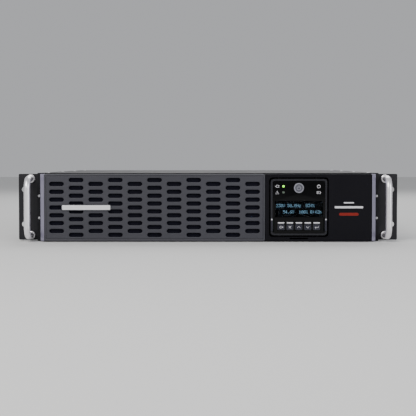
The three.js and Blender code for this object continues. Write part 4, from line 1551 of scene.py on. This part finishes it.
    def power_button(self) -> None:
        """Makes the round button: a dished cap, a paler ring and the usual open-circle sign."""
        box = Extent.of("power_button")
        (x, z), y = box.spot, box.low.y
        radius = box.size.x / 2
        stem = box.high.y
        dish = ((2.2, 0.35), (1.5, 0.1), (0.5, 0.1))  # in from the rim, and back from the front
        cap = [(0, y + 0.45 * MM), *((radius - r * MM, y + d * MM) for r, d in dish)]
        cap += [(radius, y + 0.6 * MM), (radius, y + 3 * MM), (self.stem, y + 3.1 * MM)]
        cap += [(self.stem, stem), (0, stem)]
        fit("button_cap", turned(cap, x, z, 48), "power_button", Finishes.BUTTON, "power_button")
        inner, outer = radius - 1.6 * MM, radius - 0.4 * MM
        loop = [circle(outer, x, z, 48), circle(inner, x, z, 48)]
        halo = plate(loop, y - 0.05 * MM, y + 0.3 * MM, 0.1 * MM)
        fit("button_ring", halo, "power_button", Finishes.HALO)
        sign = [arc(0, 0, 2.3, 1.45, 4.55, 18), [(0, 0.4), (0, 3.0)]]
        mark = stroked(sign, x, y + 0.4 * MM, z, 0.75 * MM)
        fit("button_sign", mark, "power_button", Finishes.HALO)

    def keys(self) -> None:
        """Makes the five keys, their pictures, and the short bars printed above them."""
        bars = []
        for glyph in Glyph:
            node = glyph.value
            box = Extent.of(node)
            dress(f"{node}_cap", node, node, Finishes.KEY, 0.55, 3)
            strokes = enlarged(glyph.strokes(), 1.3)
            mark = stroked(strokes, box.middle.x, box.low.y, box.middle.z, self.stroke)
            fit(f"{node}_picture", mark, node, Finishes.PALE)
            height = self.z - self.key_bar_drop
            outline = rounded(8.0 * MM, 1.5 * MM, 0.6 * MM, box.middle.x, height)
            face = self.lens.low.y
            bars.append(plate([outline], face - 0.06 * MM, face + 0.1 * MM, 0.02 * MM))
        fit("key_bars", together(bars), self.body, Finishes.PALE)

    def latches(self) -> None:
        """Makes the two side latches with ribs, each with a pale dot that is a painted highlight.
        """
        for word in ("left", "right"):
            node = f"{word}_latch"
            box = Extent.of(node)
            y, inset = box.low.y, 0.25 * MM
            made = [softened(node, 0.4 * MM)]
            for i in range(self.latch_ribs):
                z = box.low.z + (3.0 + i * 1.8) * MM
                low = (box.low.x + inset, y - 0.2 * MM, z)
                high = (box.high.x - inset, y + 0.4 * MM, z + 0.8 * MM)
                made.append(block(low, high, 0.15 * MM))
            fit(f"{node}_bar", together(made), node, Finishes.KEY, node)
            # The pale dot is a painted highlight: a pale disc at the latch's top where a glint
            # shows.
            dot = [(0, -0.3), (0.75, -0.22), (0.95, 0.0), (0.95, 0.15), (0, 0.15)]
            dot = [(r * MM, y + d * MM) for r, d in dot]
            mesh = turned(dot, box.middle.x, box.high.z - 1.7 * MM, 20)
            fit(f"{node}_dot", mesh, node, Finishes.PALE)


# Each sign of the screen as seven rows of five dots.
DOT_SIGNS: dict[str, tuple[int, ...]] = {
    " ": (0, 0, 0, 0, 0, 0, 0),
    "0": (14, 17, 19, 21, 25, 17, 14),
    "1": (4, 12, 4, 4, 4, 4, 14),
    "2": (14, 17, 1, 2, 4, 8, 31),
    "3": (31, 2, 4, 2, 1, 17, 14),
    "4": (2, 6, 10, 18, 31, 2, 2),
    "5": (31, 16, 30, 1, 1, 17, 14),
    "6": (6, 8, 16, 30, 17, 17, 14),
    ".": (0, 0, 0, 0, 0, 12, 12),
    ":": (0, 12, 12, 0, 12, 12, 0),
    "%": (24, 25, 2, 4, 8, 19, 3),
    "V": (17, 17, 17, 17, 17, 10, 4),
    "H": (17, 17, 17, 31, 17, 17, 17),
    "h": (16, 16, 22, 25, 17, 17, 17),
    "z": (0, 0, 31, 2, 4, 8, 31),
}


@dataclass
class BatteryDrawer:
    """The slide-out tray with its front plate, batteries, pull and thumbscrews."""

    body: str = "battery_drawer"
    knurls: int = 30
    wall_top: float = 45.1 * MM
    case_width: float = 94 * MM
    lid_height: float = 9 * MM
    post_inset: float = 12 * MM  # the terminals, from the case's top, bottom and front
    tab_reach: float = 3.1 * MM
    strap_reach: float = 11 * MM
    strap_sheet: float = 0.8 * MM

    def build(self) -> None:
        """Makes the drawer's pieces."""
        plain = (
            ("drawer_tray", "battery_tray", Finishes.ZINC, 0.3, 2),
            ("drawer_front", "tray_front_plate", Finishes.POWDER, 0.3, 2),
            ("drawer_pull", "tray_pull", Finishes.NYLON, 1.0, 3),
            ("drawer_plug", "tray_connector", Finishes.NYLON, 0.8, 3),
        )
        for name, node, finish, ease, segments in plain:
            dress(name, node, self.body, finish, ease, segments)
        self.nodes = [f"battery_{number}" for number in range(1, 5)]
        self.middle = Extent.of(*self.nodes).middle.x
        for node in self.nodes:
            self.battery(node)
        self.links()
        for word in ("upper", "lower"):
            self.thumbscrew(word)

    def links(self) -> None:
        """Makes the copper links in the aisle, the sleeved bars, and the hold-down straps."""
        boxes = [Extent.of(node) for node in self.nodes]
        rows = {round(box.low.y, 4): box for box in boxes}.values()
        whole, middle = Extent.of(*self.nodes), self.middle
        copper, straps = [], []
        for row in rows:
            near = row.low.y + self.post_inset + 0.5 * MM
            for z in (row.low.z + self.post_inset, row.high.z - self.post_inset):
                low = (middle - 3 * MM, near, z - 4 * MM)
                high = (middle + 3 * MM, near + 1 * MM, z + 4 * MM)
                copper.append(block(low, high, 0.25 * MM))
            straps += self.strap(row.middle.y, row.high.z + 0.2 * MM)
        fit("copper_links", together(copper), self.body, Finishes.COIL)
        fit("hold_down_straps", together(straps), self.body, Finishes.ZINC)
        for word, rise, finish in (("red", 40, Finishes.RED), ("black", 33, Finishes.NYLON)):
            low = (middle - 0.7 * MM, whole.low.y + 20 * MM, whole.low.z + rise * MM)
            high = (middle + 0.7 * MM, whole.high.y - 2 * MM, whole.low.z + (rise + 4) * MM)
            fit(f"sleeved_bar_{word}", block(low, high, 0.6 * MM), self.body, finish)

    def strap(self, y: float, z: float) -> list[bpy.types.Mesh]:
        """Makes one steel strap over the batteries, whose legs stand on the tray's walls.

        Args:
            y: The strap's middle.
            z: Its underside.

        Returns:
            Its meshes.
        """
        tray, sheet = Extent.of("battery_tray"), self.strap_sheet
        near, far, top = y - self.strap_reach, y + self.strap_reach, z + sheet
        left, right = tray.low.x + 0.2 * MM, tray.high.x - 0.2 * MM
        made = [block((left, near, z), (right, far, top), 0.3 * MM)]
        for rib in (-5 * MM, 5 * MM):
            low = (left + 5 * MM, y + rib - 1 * MM, z + 0.5 * MM)
            high = (right - 5 * MM, y + rib + 1 * MM, z + 2 * sheet)
            made.append(block(low, high, 0.5 * MM))
        for a in (left, right - sheet):
            made.append(block((a, near, self.wall_top), (a + sheet, far, top), 0.3 * MM))
        return made

    def battery(self, node: str) -> None:
        """Makes one sealed battery: case, lid with a seam, terminal tabs and vent covers.

        Args:
            node: The battery's node.
        """
        low, high = Extent.of(node).low, Extent.of(node).high
        outward = -1 if (low.x + high.x) / 2 < self.middle else 1
        if outward < 0:
            high.x = low.x + self.case_width
        else:
            low.x = high.x - self.case_width
        seam, neck = high.z - self.lid_height, 0.8 * MM
        crown = (low.x + 7 * MM, low.y + 26 * MM, high.z - 2 * MM)
        made = [
            block(low, (high.x, high.y, seam - 0.4 * MM), 1.2 * MM),
            block(
                (low.x + neck, low.y + neck, seam - 2 * MM),
                (high.x - neck, high.y - neck, seam + 2 * MM),
            ),
            block((low.x, low.y, seam), (high.x, high.y, high.z - 1.2 * MM), 1.4 * MM),
            block(crown, (high.x - 7 * MM, high.y - 8 * MM, high.z), 0.8 * MM),
        ]
        for i in range(6):
            x = low.x + (12 + i * 14) * MM
            rib = (x, high.y - 0.6 * MM, low.z + 6 * MM)
            made.append(block(rib, (x + 1.5 * MM, high.y + 0.2 * MM, seam - 6 * MM)))
        fit(f"{node}_case", together(made), self.body, Finishes.BATTERY, node)
        profile = [(0, -0.4), (5.4, -0.4), (5.4, 0.1), (4.8, 0.5), (0, 0.4)]
        vent = turned([(r * MM, d * MM) for r, d in profile], 0, 0, 20)
        spots = [(low.x + (14.5 + i * 13) * MM, high.y - 22 * MM, high.z) for i in range(6)]
        caps = STAMPS.made(vent, spots, Finishes.NYLON, Facing.FRONT)
        fit(f"{node}_vents", caps, self.body, Finishes.NYLON)
        inner = high.x if outward < 0 else low.x
        near = low.y + self.post_inset
        tabs = []
        for z in (low.z + self.post_inset, high.z - self.post_inset):
            ends = sorted((inner + outward * 0.3 * MM, inner - outward * 5 * MM))
            tab = (ends[0], near - 0.4 * MM, z - self.tab_reach)
            tabs.append(block(tab, (ends[1], near + 0.4 * MM, z + self.tab_reach), 0.2 * MM))
        fit(f"{node}_tabs", together(tabs), self.body, Finishes.BRASS)

    def thumbscrew(self, word: str) -> None:
        """Makes one thumbscrew: a head with a knurled rim, and its shank.

        Args:
            word: upper or lower.
        """
        node = f"thumbscrew_{word}"
        box = Extent.of(node)
        x, z = box.spot
        y, wide, long = box.low.y, box.size.z / 2 / MM, box.size.y / MM
        profile = [(0, 0.5), (1.2, 0.4), (wide - 1.3, 0.0), (wide - 0.5, 0.5)]
        profile += [(wide - 0.5, 7.4), (wide - 1.2, 8.0), (3.0, 8.0), (2.0, 8.6)]
        profile += [(2.0, long - 0.6), (1.4, long), (0, long)]
        head = turned([(r * MM, y + d * MM) for r, d in profile], x, z)
        low = (-0.32 * MM, y + 0.9 * MM, (wide - 0.75) * MM)
        ridge = block(low, (0.32 * MM, y + 7.0 * MM, (wide - 0.05) * MM), 0.12 * MM)
        rim = STAMPS.round_axis(ridge, self.knurls, (x, 0, z), Finishes.STEEL)
        fit(f"{node}_head", together([head, rim]), f"{word}_thumbscrew", Finishes.STEEL, node)


@dataclass
class Electronics:
    """What the case holds behind the display and at the rear."""

    board: float = 1.6 * MM
    can_radius: float = 12 * MM
    can_height: float = 40 * MM
    can_pitch: float = 28 * MM
    relay: tuple[float, float, float] = (18 * MM, 22 * MM, 18 * MM)
    relay_pitch: float = 26 * MM
    board_margin: float = 16 * MM
    chip_rows: tuple[int, int] = (7, 5)

    def power_board(self) -> None:
        """Makes the power board with its relays, capacitors and chips."""
        box = Extent.of("main_board")
        top = box.low.z + self.board
        base = block(box.low, (box.high.x, box.high.y, top), 0.2 * MM)
        fit("power_board", base, "chassis", Finishes.BOARD, "main_board")
        wide, deep, tall = self.relay
        relay = block((-wide / 2, -deep / 2, 0), (wide / 2, deep / 2, tall), 0.9 * MM)
        aisle, first = self.board_margin, 20 * MM
        rows = [first + i * self.relay_pitch for i in range(4)]
        spots = [(box.low.x + aisle, box.high.y - row, top) for row in rows]
        relays = STAMPS.made(relay, spots, Finishes.NYLON)
        fit("relays", relays, "chassis", Finishes.NYLON)
        r, h = self.can_radius, self.can_height
        sleeve = [(0, 0), (r - 0.6 * MM, 0), (r, 0.6 * MM), (r, 3 * MM), (r - 0.6 * MM, 3.8 * MM)]
        sleeve += [(r, 4.6 * MM), (r, h - 0.8 * MM), (r - 1 * MM, h), (0, h)]
        rows = [first + i * self.can_pitch for i in range(4)]
        spots = [(box.high.x - aisle, box.low.y + row, top) for row in rows]
        cans = STAMPS.made(turned(sleeve, 0, 0, 28), spots, Finishes.SLEEVE, Facing.FRONT)
        fit("capacitors", cans, "chassis", Finishes.SLEEVE)
        rim = [(0, h - 0.2 * MM), (r - 2 * MM, h - 0.2 * MM), (r - 2.3 * MM, h + 0.15 * MM)]
        lids = STAMPS.made(turned([*rim, (0, h)], 0, 0, 28), spots, Finishes.STEEL, Facing.FRONT)
        fit("capacitor_tops", lids, "chassis", Finishes.STEEL)
        chips, sizes = [], []
        for i in range(self.chip_rows[0]):
            for j in range(self.chip_rows[1]):
                chips.append((box.low.x + (50 + i * 16) * MM, box.high.y - (14 + j * 12) * MM, top))
                sizes.append(((7, 5, 1.6), (3, 1.6, 1.0), (9, 6, 2.2))[(i * 2 + j) % 3])
        chip = block((-0.5 * MM, -0.5 * MM, 0), (0.5 * MM, 0.5 * MM, 1 * MM), 0.05 * MM)
        made = STAMPS.made(chip, chips, Finishes.SOCKET, sizes=sizes)
        fit("board_chips", made, "chassis", Finishes.SOCKET)

    def build(self) -> None:
        """Makes the inner pieces."""
        self.power_board()
        plain = (
            ("bay_partition", "battery_bay_wall", Finishes.ZINC, 0.2),
            ("bay_plug", "bay_connector", Finishes.NYLON, 0.8),
            ("inverter_sink", "heatsink_1", Finishes.SINK, 0.2),
            ("charger_sink", "heatsink_2", Finishes.SINK, 0.2),
            ("laminated_core", "transformer_core", Finishes.CORE, 0.5),
            ("wound_coil", "transformer_coil", Finishes.COIL, 2.5),
        )
        for name, node, finish, ease in plain:
            dress(name, node, "chassis", finish, ease)


@dataclass
class Fans:
    """The two rear fans with their rotors and wire guards."""

    blades: int = 7
    bore: float = 28.2 * MM
    hub: float = 13 * MM
    flange: float = 3.2 * MM
    # Along a blade, at the hub and what is added by its tip: millimetres, then radians.
    blade_radius: Point = (12.6, 13.2)
    blade_chord: Point = (13.0, 4.0)
    blade_twist: Point = (0.95, -0.35)
    blade_sweep: float = 0.35
    blade_camber: float = 1.4 * MM
    ring_wire: float = 0.8 * MM
    ring_reach: float = 26.2 * MM
    rings: tuple[float, ...] = (0.22, 0.42, 0.62, 0.82, 1.0)

    def build(self) -> None:
        """Makes both fans."""
        for word in ("outer", "inner"):
            self.housing(word)
            self.rotor(word)
            self.guard(word)

    def housing(self, word: str) -> None:
        """Makes the square frame with its round duct, corner flanges and motor stays.

        Args:
            word: outer or inner.
        """
        box = Extent.of(f"fan_frame_{word}")
        x, z = box.spot
        side, bore = box.size.x, self.bore
        near, far = box.low.y, box.high.y
        screw = side / 2 - 5 * MM
        corners = [(x + a * screw, z + b * screw) for a in (-1, 1) for b in (-1, 1)]
        outlines = [rounded(side, side, 3 * MM, x, z), circle(bore, x, z, 48)]
        outlines += [circle(2.1 * MM, *spot, 16) for spot in corners]
        thick = self.flange
        made = [plate(outlines, a, a + thick, 0.3 * MM) for a in (near, far - thick)]
        duct = [circle(bore + 1.5 * MM, x, z, 48), circle(bore, x, z, 48)]
        made.append(plate(duct, near + 0.5 * MM, far - 0.5 * MM, 0.1 * MM))
        cup = [(0, far - 3.4 * MM), (self.hub - 0.4 * MM, far - 3.4 * MM), (self.hub, far - 3 * MM)]
        cup += [(self.hub, far - 0.5 * MM), (self.hub - 0.6 * MM, far), (0, far)]
        made.append(turned(cup, x, z, 40))
        low = (-1.9 * MM, far - 2.8 * MM, self.hub - 1 * MM)
        stay = block(low, (1.9 * MM, far, bore + 0.6 * MM), 0.5 * MM)
        made.append(STAMPS.round_axis(stay, 4, (x, 0, z), Finishes.FAN))
        fit(f"fan_housing_{word}", together(made), "chassis", Finishes.FAN, f"fan_frame_{word}")

    def rotor(self, word: str) -> None:
        """Makes the hub and its twisted blades.

        Args:
            word: outer or inner.
        """
        box = Extent.of(f"fan_rotor_{word}")
        centre = Extent.of(f"fan_frame_{word}").middle
        near, far, rim = box.low.y, box.high.y, self.hub
        hub = [(0, near + 0.3 * MM), (rim - 1.8 * MM, near), (rim - 0.3 * MM, near + 0.9 * MM)]
        hub += [(rim, near + 2.5 * MM), (rim, far - 0.4 * MM), (rim - 0.4 * MM, far), (0, far)]
        item = placed("blade", self.blade((near + far) / 2))
        wall = item.modifiers.new("wall", "SOLIDIFY")
        wall.thickness = 1.1 * MM
        wall.offset = 0
        blade = eased(tidied(evaluated(item)), 0.25 * MM)
        fins = STAMPS.round_axis(blade, self.blades, (centre.x, 0, centre.z), Finishes.FAN)
        mesh = together([turned(hub, centre.x, centre.z, 40), fins])
        fit(f"fan_wheel_{word}", mesh, f"{word}_fan_rotor", Finishes.FAN, f"fan_rotor_{word}")

    def blade(self, middle: float, steps: int = 6, chord: int = 8) -> bpy.types.Mesh:
        """Makes one blade's middle surface, twisted and swept back towards its tip.

        Args:
            middle: The blade's place along Y.
            steps: How many faces it has from the hub to the tip.
            chord: How many it has across.

        Returns:
            The open mesh, about the origin.
        """
        shape = bmesh.new()
        rows = []
        for i in range(steps + 1):
            share = i / steps
            radius = (self.blade_radius[0] + share * self.blade_radius[1]) * MM
            twist = self.blade_twist[0] + self.blade_twist[1] * share
            length = (self.blade_chord[0] + self.blade_chord[1] * share) * MM
            row = []
            for j in range(chord + 1):
                along = (j / chord - 0.5) * length
                camber = self.blade_camber * (1 - (2 * j / chord - 1) ** 2)
                y = middle + along * math.sin(twist) + camber
                swing = self.blade_sweep * share + (along * math.cos(twist)) / radius
                row.append(shape.verts.new((radius * math.sin(swing), y, radius * math.cos(swing))))
            rows.append(row)
        for one, two in zip(rows, rows[1:]):
            for j in range(chord):
                shape.faces.new((one[j], one[j + 1], two[j + 1], two[j]))
        return from_bmesh(shape)

    def guard(self, word: str) -> None:
        """Makes the guard: wire rings on two crossed stays that end in eyelets.

        Args:
            word: outer or inner.
        """
        box = Extent.of(f"fan_guard_{word}")
        (x, z), wire = box.spot, self.ring_wire
        y, corner = box.high.y - wire, box.size.x / 2 - 2.2 * MM
        foot, raised = y - 1.2 * MM, y - 0.2 * MM
        spots, wires = [], []
        for share in self.rings:
            ring = circle(self.ring_reach * share, x, z, 48)
            wires.append(swept([(a, y, b) for a, b in ring], wire, True, 2))
        for lean in (-1, 1):
            ends = [(x - corner, z - lean * corner), (x + corner, z + lean * corner)]
            (ax, az), (bx, bz) = ends
            path = [(ax, foot, az), (ax + 3 * MM, raised, az + 3 * lean * MM)]
            path += [(bx - 3 * MM, raised, bz - 3 * lean * MM), (bx, foot, bz)]
            wires.append(swept(path, wire, False, 2))
            for ex, ez in ends:
                eye = circle(2.6 * MM, ex, ez, 20)
                wires.append(swept([(a, foot, b) for a, b in eye], wire * 0.9, True, 2))
                spots.append((ex, y - 1.0 * MM, ez))
        fit(f"wire_guard_{word}", together(wires), "chassis", Finishes.GUARD, f"fan_guard_{word}")
        screws(f"guard_screws_{word}", spots, 2.7, 1.4, Facing.REAR)


@dataclass
class RearFittings:
    """The rear panel and everything that is set in it."""

    outlet_across: float = 33 * MM
    outlet_up: float = 35 * MM
    outlet_depth: float = 15 * MM
    mouth_depth: float = 22 * MM
    cell_across: float = 11.85 * MM
    thread: float = 0.8 * MM
    thread_radius: float = 2.5 * MM
    screw_columns: tuple[float, ...] = (0.012, 0.36, 0.52, 0.988)  # shares of the width
    # In millimetres: the pins' places in the inlet, and each port's place, width and height.
    inlet_pins: tuple[Point, ...] = ((-7, 3), (7, 3), (0, -3))
    port_mouths: tuple[Mark, ...] = ((-26, 12, 11), (0, 12, 8.4), (26, 10, 7.6))
    body: str = "chassis"

    def build(self) -> None:
        """Makes the rear's pieces."""
        dress("rear_sheet", "rear_panel", self.body, Finishes.POWDER, 0.3)
        for number in (1, 2):
            self.outlets(f"outlet_bank_{number}")
            self.breaker(number)
        self.inlet()
        self.battery_port()
        self.network_card()
        self.signal_ports()
        self.stud()
        self.panel_screws()

    def outlets(self, node: str) -> None:
        """Makes a bank of four receptacles, each a raised face with its slots.

        Args:
            node: The bank's node.
        """
        box = Extent.of(node)
        face, floor = box.high.y, box.high.y - self.outlet_depth
        tee = [(-7.6, -0.3), (-5.2, -0.3), (-5.2, 2.8), (-1.8, 2.8), (-1.8, 5.2), (-5.2, 5.2)]
        tee += [(-5.2, 8.3), (-7.6, 8.3)]
        faces, rims = [], []
        for a in (-0.5, 0.5):
            for b in (-0.5, 0.5):
                x = box.middle.x + a * self.outlet_across
                z = box.middle.z + b * self.outlet_up
                holes = [[(x - p * MM, z + q * MM) for p, q in tee]]
                holes.append(rounded(2.4 * MM, 7.4 * MM, 0.3 * MM, x - 6.4 * MM, z + 4 * MM))
                dee = [*arc(0, -7.5, 2.7, 2, 4, 12), (2.7, -5.6), (-2.7, -5.6)]
                holes.append([(x + p * MM, z + q * MM) for p, q in dee])
                faces += holes
                outer = rounded(30 * MM, 31 * MM, 6 * MM, x, z)
                inner = rounded(28 * MM, 29 * MM, 5 * MM, x, z)
                rims.append(plate([outer, inner], face - 0.2 * MM, face + 0.7 * MM, 0.2 * MM))
        outline = rounded(box.size.x, box.size.z, 1.2 * MM, *box.spot)
        front = plate([outline, *faces], floor, face, 0.25 * MM)
        step = 0.6 * MM
        inner = (box.high.x - step, floor + 0.2 * MM, box.high.z - step)
        back = block((box.low.x + step, box.low.y, box.low.z + step), inner)
        mesh = together([front, back, *rims])
        fit(f"{node}_block", mesh, self.body, Finishes.SOCKET, node)

    def inlet(self) -> None:
        """Makes the power inlet: a flanged shroud with three blades."""
        box = Extent.of("power_inlet")
        (x, z), face = box.spot, box.high.y
        mouth = rounded(27.5 * MM, 19.5 * MM, 3.5 * MM, x, z)
        flange = [rounded(box.size.x, box.size.z, 2 * MM, x, z), mouth]
        lip = plate(flange, face - 2 * MM, face, 0.4 * MM)
        ring = [rounded(30 * MM, 22 * MM, 4.6 * MM, x, z), mouth]
        collar = plate(ring, face - 1 * MM, face + 0.8 * MM, 0.3 * MM)
        wall, deep = [rounded(34 * MM, 28 * MM, 1 * MM, x, z), mouth], face - self.mouth_depth
        shroud = plate(wall, deep, face - 1.8 * MM, 0.1 * MM)
        back = plate([wall[0]], box.low.y, deep + 0.1 * MM, 0.4 * MM)
        mesh = together([lip, collar, shroud, back])
        fit("inlet_shroud", mesh, self.body, Finishes.NYLON, "power_inlet")
        pins = []
        for a, b in self.inlet_pins:
            px, pz = x + a * MM, z + b * MM
            low = (px - 1 * MM, deep - 0.5 * MM, pz - 3.5 * MM)
            pins.append(block(low, (px + 1 * MM, face - 6 * MM, pz + 3.5 * MM), 0.5 * MM))
        fit("inlet_blades", together(pins), self.body, Finishes.STEEL)

    def battery_port(self) -> None:
        """Makes the two-cell battery socket with a blade contact in each cell."""
        box = Extent.of("battery_pack_port")
        dress("battery_socket", "battery_pack_port", self.body, Finishes.KEY, 0.6, 3)
        blades = []
        for side in (-1, 1):
            x = box.middle.x + side * self.cell_across
            low = (x - 5 * MM, box.high.y - 20.5 * MM, box.middle.z - 1.2 * MM)
            high = (x + 5 * MM, box.high.y - 6 * MM, box.middle.z + 1.2 * MM)
            blades.append(block(low, high, 0.6 * MM))
        fit("battery_contacts", together(blades), self.body, Finishes.BRASS)

    def breaker(self, number: int) -> None:
        """Makes a push-button breaker: hexagon nut, threaded collar and domed button.

        Args:
            number: Which of the two.
        """
        node, button = f"breaker_{number}", f"breaker_button_{number}"
        cap = Extent.of(button)
        x, z = cap.spot
        sheet = Extent.of("rear_panel").high.y
        shell = softened(node, 0.3 * MM)
        hexagon = [circle(8.4 * MM, x, z, 6), circle(6.6 * MM, x, z, 32)]
        nut = plate(hexagon, sheet + 0.1 * MM, sheet + 2.4 * MM, 0.3 * MM)
        fit(f"breaker_{number}_collar", together([shell, nut]), self.body, Finishes.NYLON, node)
        radius, tip = cap.size.x / 2, cap.high.y
        dome = [(0, tip), (radius * 0.5, tip - 0.1 * MM), (radius * 0.85, tip - 0.5 * MM)]
        dome += [(radius, tip - 1.1 * MM), (radius, cap.low.y + 0.4 * MM)]
        dome += [(radius * 0.9, cap.low.y), (0, cap.low.y)]
        fit(f"breaker_{number}_plunger", turned(dome, x, z), button, Finishes.CAP, button)

    def network_card(self) -> None:
        """Makes the network card: face plate, jack, lamp windows and two captive screws."""
        box = Extent.of("network_card")
        dress("card_plate", "network_card", self.body, Finishes.ZINC, 0.3)
        (x, z), face = box.spot, box.high.y
        contacts = []
        for i in range(8):
            px = x + 24 * MM + (i - 3.5) * 1.02 * MM
            low = (px - 0.18 * MM, face - 13 * MM, z + 2.2 * MM)
            contacts.append(block(low, (px + 0.18 * MM, face - 3 * MM, z + 2.7 * MM), 0))
        fit("jack_contacts", together(contacts), self.body, Finishes.BRASS)
        lamps, slots = [], []
        for across in (20, 28):
            lamp = rounded(3 * MM, 2 * MM, 0.4 * MM, x + across * MM, z + 10.5 * MM)
            lamps.append(plate([lamp], face - 0.2 * MM, face + 0.4 * MM))
        fit("card_lamps", together(lamps), self.body, Finishes.UNLIT)
        for i in range(7):
            slot = rounded(1.6 * MM, 12 * MM, 0.8 * MM, x + (i * 4 - 26) * MM, z)
            slots.append(plate([slot], face - 0.1 * MM, face + 0.15 * MM, 0.05 * MM))
        fit("card_vents", together(slots), self.body, Finishes.INNER)
        spots = [(x + side * 39.5 * MM, face - 0.1 * MM, z) for side in (-1, 1)]
        screws("card_screws", spots, 3.0, 2.2, Facing.REAR)

    def signal_ports(self) -> None:
        """Makes the block of signal ports with a metal shell round each mouth."""
        box = Extent.of("comm_ports")
        (x, z), face = box.spot, box.high.y
        dress("port_block", "comm_ports", self.body, Finishes.SOCKET, 0.4)
        shells, tongues = [], []
        for across, width, height in self.port_mouths:
            px, reach = x + across * MM, (width / 2 - 2.2) * MM
            outer = rounded((width + 1.6) * MM, (height + 1.6) * MM, 0.8 * MM, px, z)
            inner = rounded(width * MM, height * MM, 0.4 * MM, px, z)
            shells.append(plate([outer, inner], face - 3 * MM, face + 0.5 * MM, 0.15 * MM))
            low = (px - reach, face - 12.5 * MM, z - 1 * MM)
            tongues.append(block(low, (px + reach, face - 2.5 * MM, z + 0.8 * MM), 0.3 * MM))
        fit("port_shells", together(shells), self.body, Finishes.STEEL)
        fit("port_tongues", together(tongues), self.body, Finishes.CAP)

    def stud(self) -> None:
        """Makes the earth stud: a threaded rod, a washer and a hexagon nut."""
        box = Extent.of("ground_stud")
        x, z = box.spot
        near = Extent.of("rear_panel").high.y + 0.2 * MM
        crest, root = self.thread_radius, self.thread_radius - 0.3 * MM
        rod, y = [(0, box.low.y), (root, box.low.y)], box.low.y
        while y < box.high.y - 1.0 * MM:
            rod += [(root, y + 0.1 * MM), (crest, y + 0.4 * MM)]
            y += self.thread
        rod += [(1.8 * MM, box.high.y), (0, box.high.y)]
        washer = plate([circle(5.6 * MM, x, z), circle(2.4 * MM, x, z)], near, near + 0.9 * MM)
        hexagon = [circle(box.size.z / 2 * 0.98, x, z, 6), circle(2.3 * MM, x, z)]
        nut = plate(hexagon, near + 0.9 * MM, near + 4.0 * MM, 0.35 * MM)
        mesh = together([turned(rod, x, z, 24), washer, nut])
        fit("earth_stud", mesh, self.body, Finishes.STEEL, "ground_stud")

    def panel_screws(self) -> None:
        """Makes the screws round the rear panel and on the inlet's flange."""
        panel, inlet = Extent.of("rear_panel"), Extent.of("power_inlet")
        y = panel.high.y - 0.1 * MM
        spots = [
            (panel.low.x + panel.size.x * share, y, z)
            for share in self.screw_columns
            for z in (panel.low.z + 4 * MM, panel.high.z - 4 * MM)
        ]
        screws("panel_screws", spots, 2.6, 1.2, Facing.REAR)
        spots = [
            (inlet.middle.x + side * 16.6 * MM, inlet.high.y - 0.1 * MM, inlet.middle.z)
            for side in (-1, 1)
        ]
        screws("inlet_screws", spots, 2.0, 1.0, Facing.REAR)


@dataclass
class Studio:
    """The floor, the soft lights and the camera."""

    distance: float = 1.42
    rise: float = 0.057
    lens: float = 99.0

    def build(self) -> None:
        """Makes the setting."""
        self.floor()
        self.lights()
        self.camera()

    def floor(self) -> None:
        """Makes the plain pale floor."""
        shape = bmesh.new()
        bmesh.ops.create_grid(shape, x_segments=1, y_segments=1, size=6.0)
        mesh = from_bmesh(shape)
        mesh.materials.append(Finishes.FLOOR.material())
        ground = placed("floor", mesh)

    def lights(self) -> None:
        """Makes a broad key, two fills and a pale surround."""
        world = bpy.data.worlds.new("surround")
        world.use_nodes = True
        backdrop = world.node_tree.nodes["Background"]
        backdrop.inputs[0].default_value = (0.82, 0.83, 0.86, 1.0)
        backdrop.inputs[1].default_value = 0.55
        bpy.context.scene.world = world
        soft = (
            ("key", (-0.8, -1.5, 1.2), 1.2, 26.0, (1.0, 0.98, 0.96)),
            ("fill", (1.3, -1.3, 0.6), 1.0, 12.0, (0.93, 0.95, 1.0)),
            ("back", (0.2, 1.4, 1.4), 1.4, 16.0, (1.0, 1.0, 1.0)),
        )
        for name, place, size, power, colour in soft:
            data = bpy.data.lights.new(name, "AREA")
            data.size, data.energy, data.color = size, power, colour
            light = placed(name, data)
            light.location = place
            aim = Vector((0, 0, 0.04)) - Vector(place)
            light.rotation_euler = aim.to_track_quat("-Z", "Y").to_euler()

    def camera(self) -> None:
        """Makes the camera, square to the front and a little above its middle."""
        low, high = (Vector(corner) for corner in CAD_BOX)
        middle = (low.z + high.z) / 2
        data = bpy.data.cameras.new("camera")
        data.lens = self.lens
        camera = placed("camera", data)
        camera.location = (0.0, low.y - self.distance, middle + self.rise)
        aim = Vector((0.0, low.y, middle)) - camera.location
        camera.rotation_euler = aim.to_track_quat("-Z", "Y").to_euler()
        bpy.context.scene.camera = camera


def main() -> None:
    """Builds the sub-assemblies in order."""
    logging.basicConfig(level=logging.INFO, format="%(message)s")
    parts = (
        Studio(),
        Chassis(),
        RackEars(),
        PullHandles(),
        GrilleCover(),
        Fascia(),
        DisplayModule(),
        BatteryDrawer(),
        Electronics(),
        Fans(),
        RearFittings(),
    )
    for part in parts:
        LOG.info("%s", type(part).__name__)
        part.build()


if __name__ == "__main__":
    main()
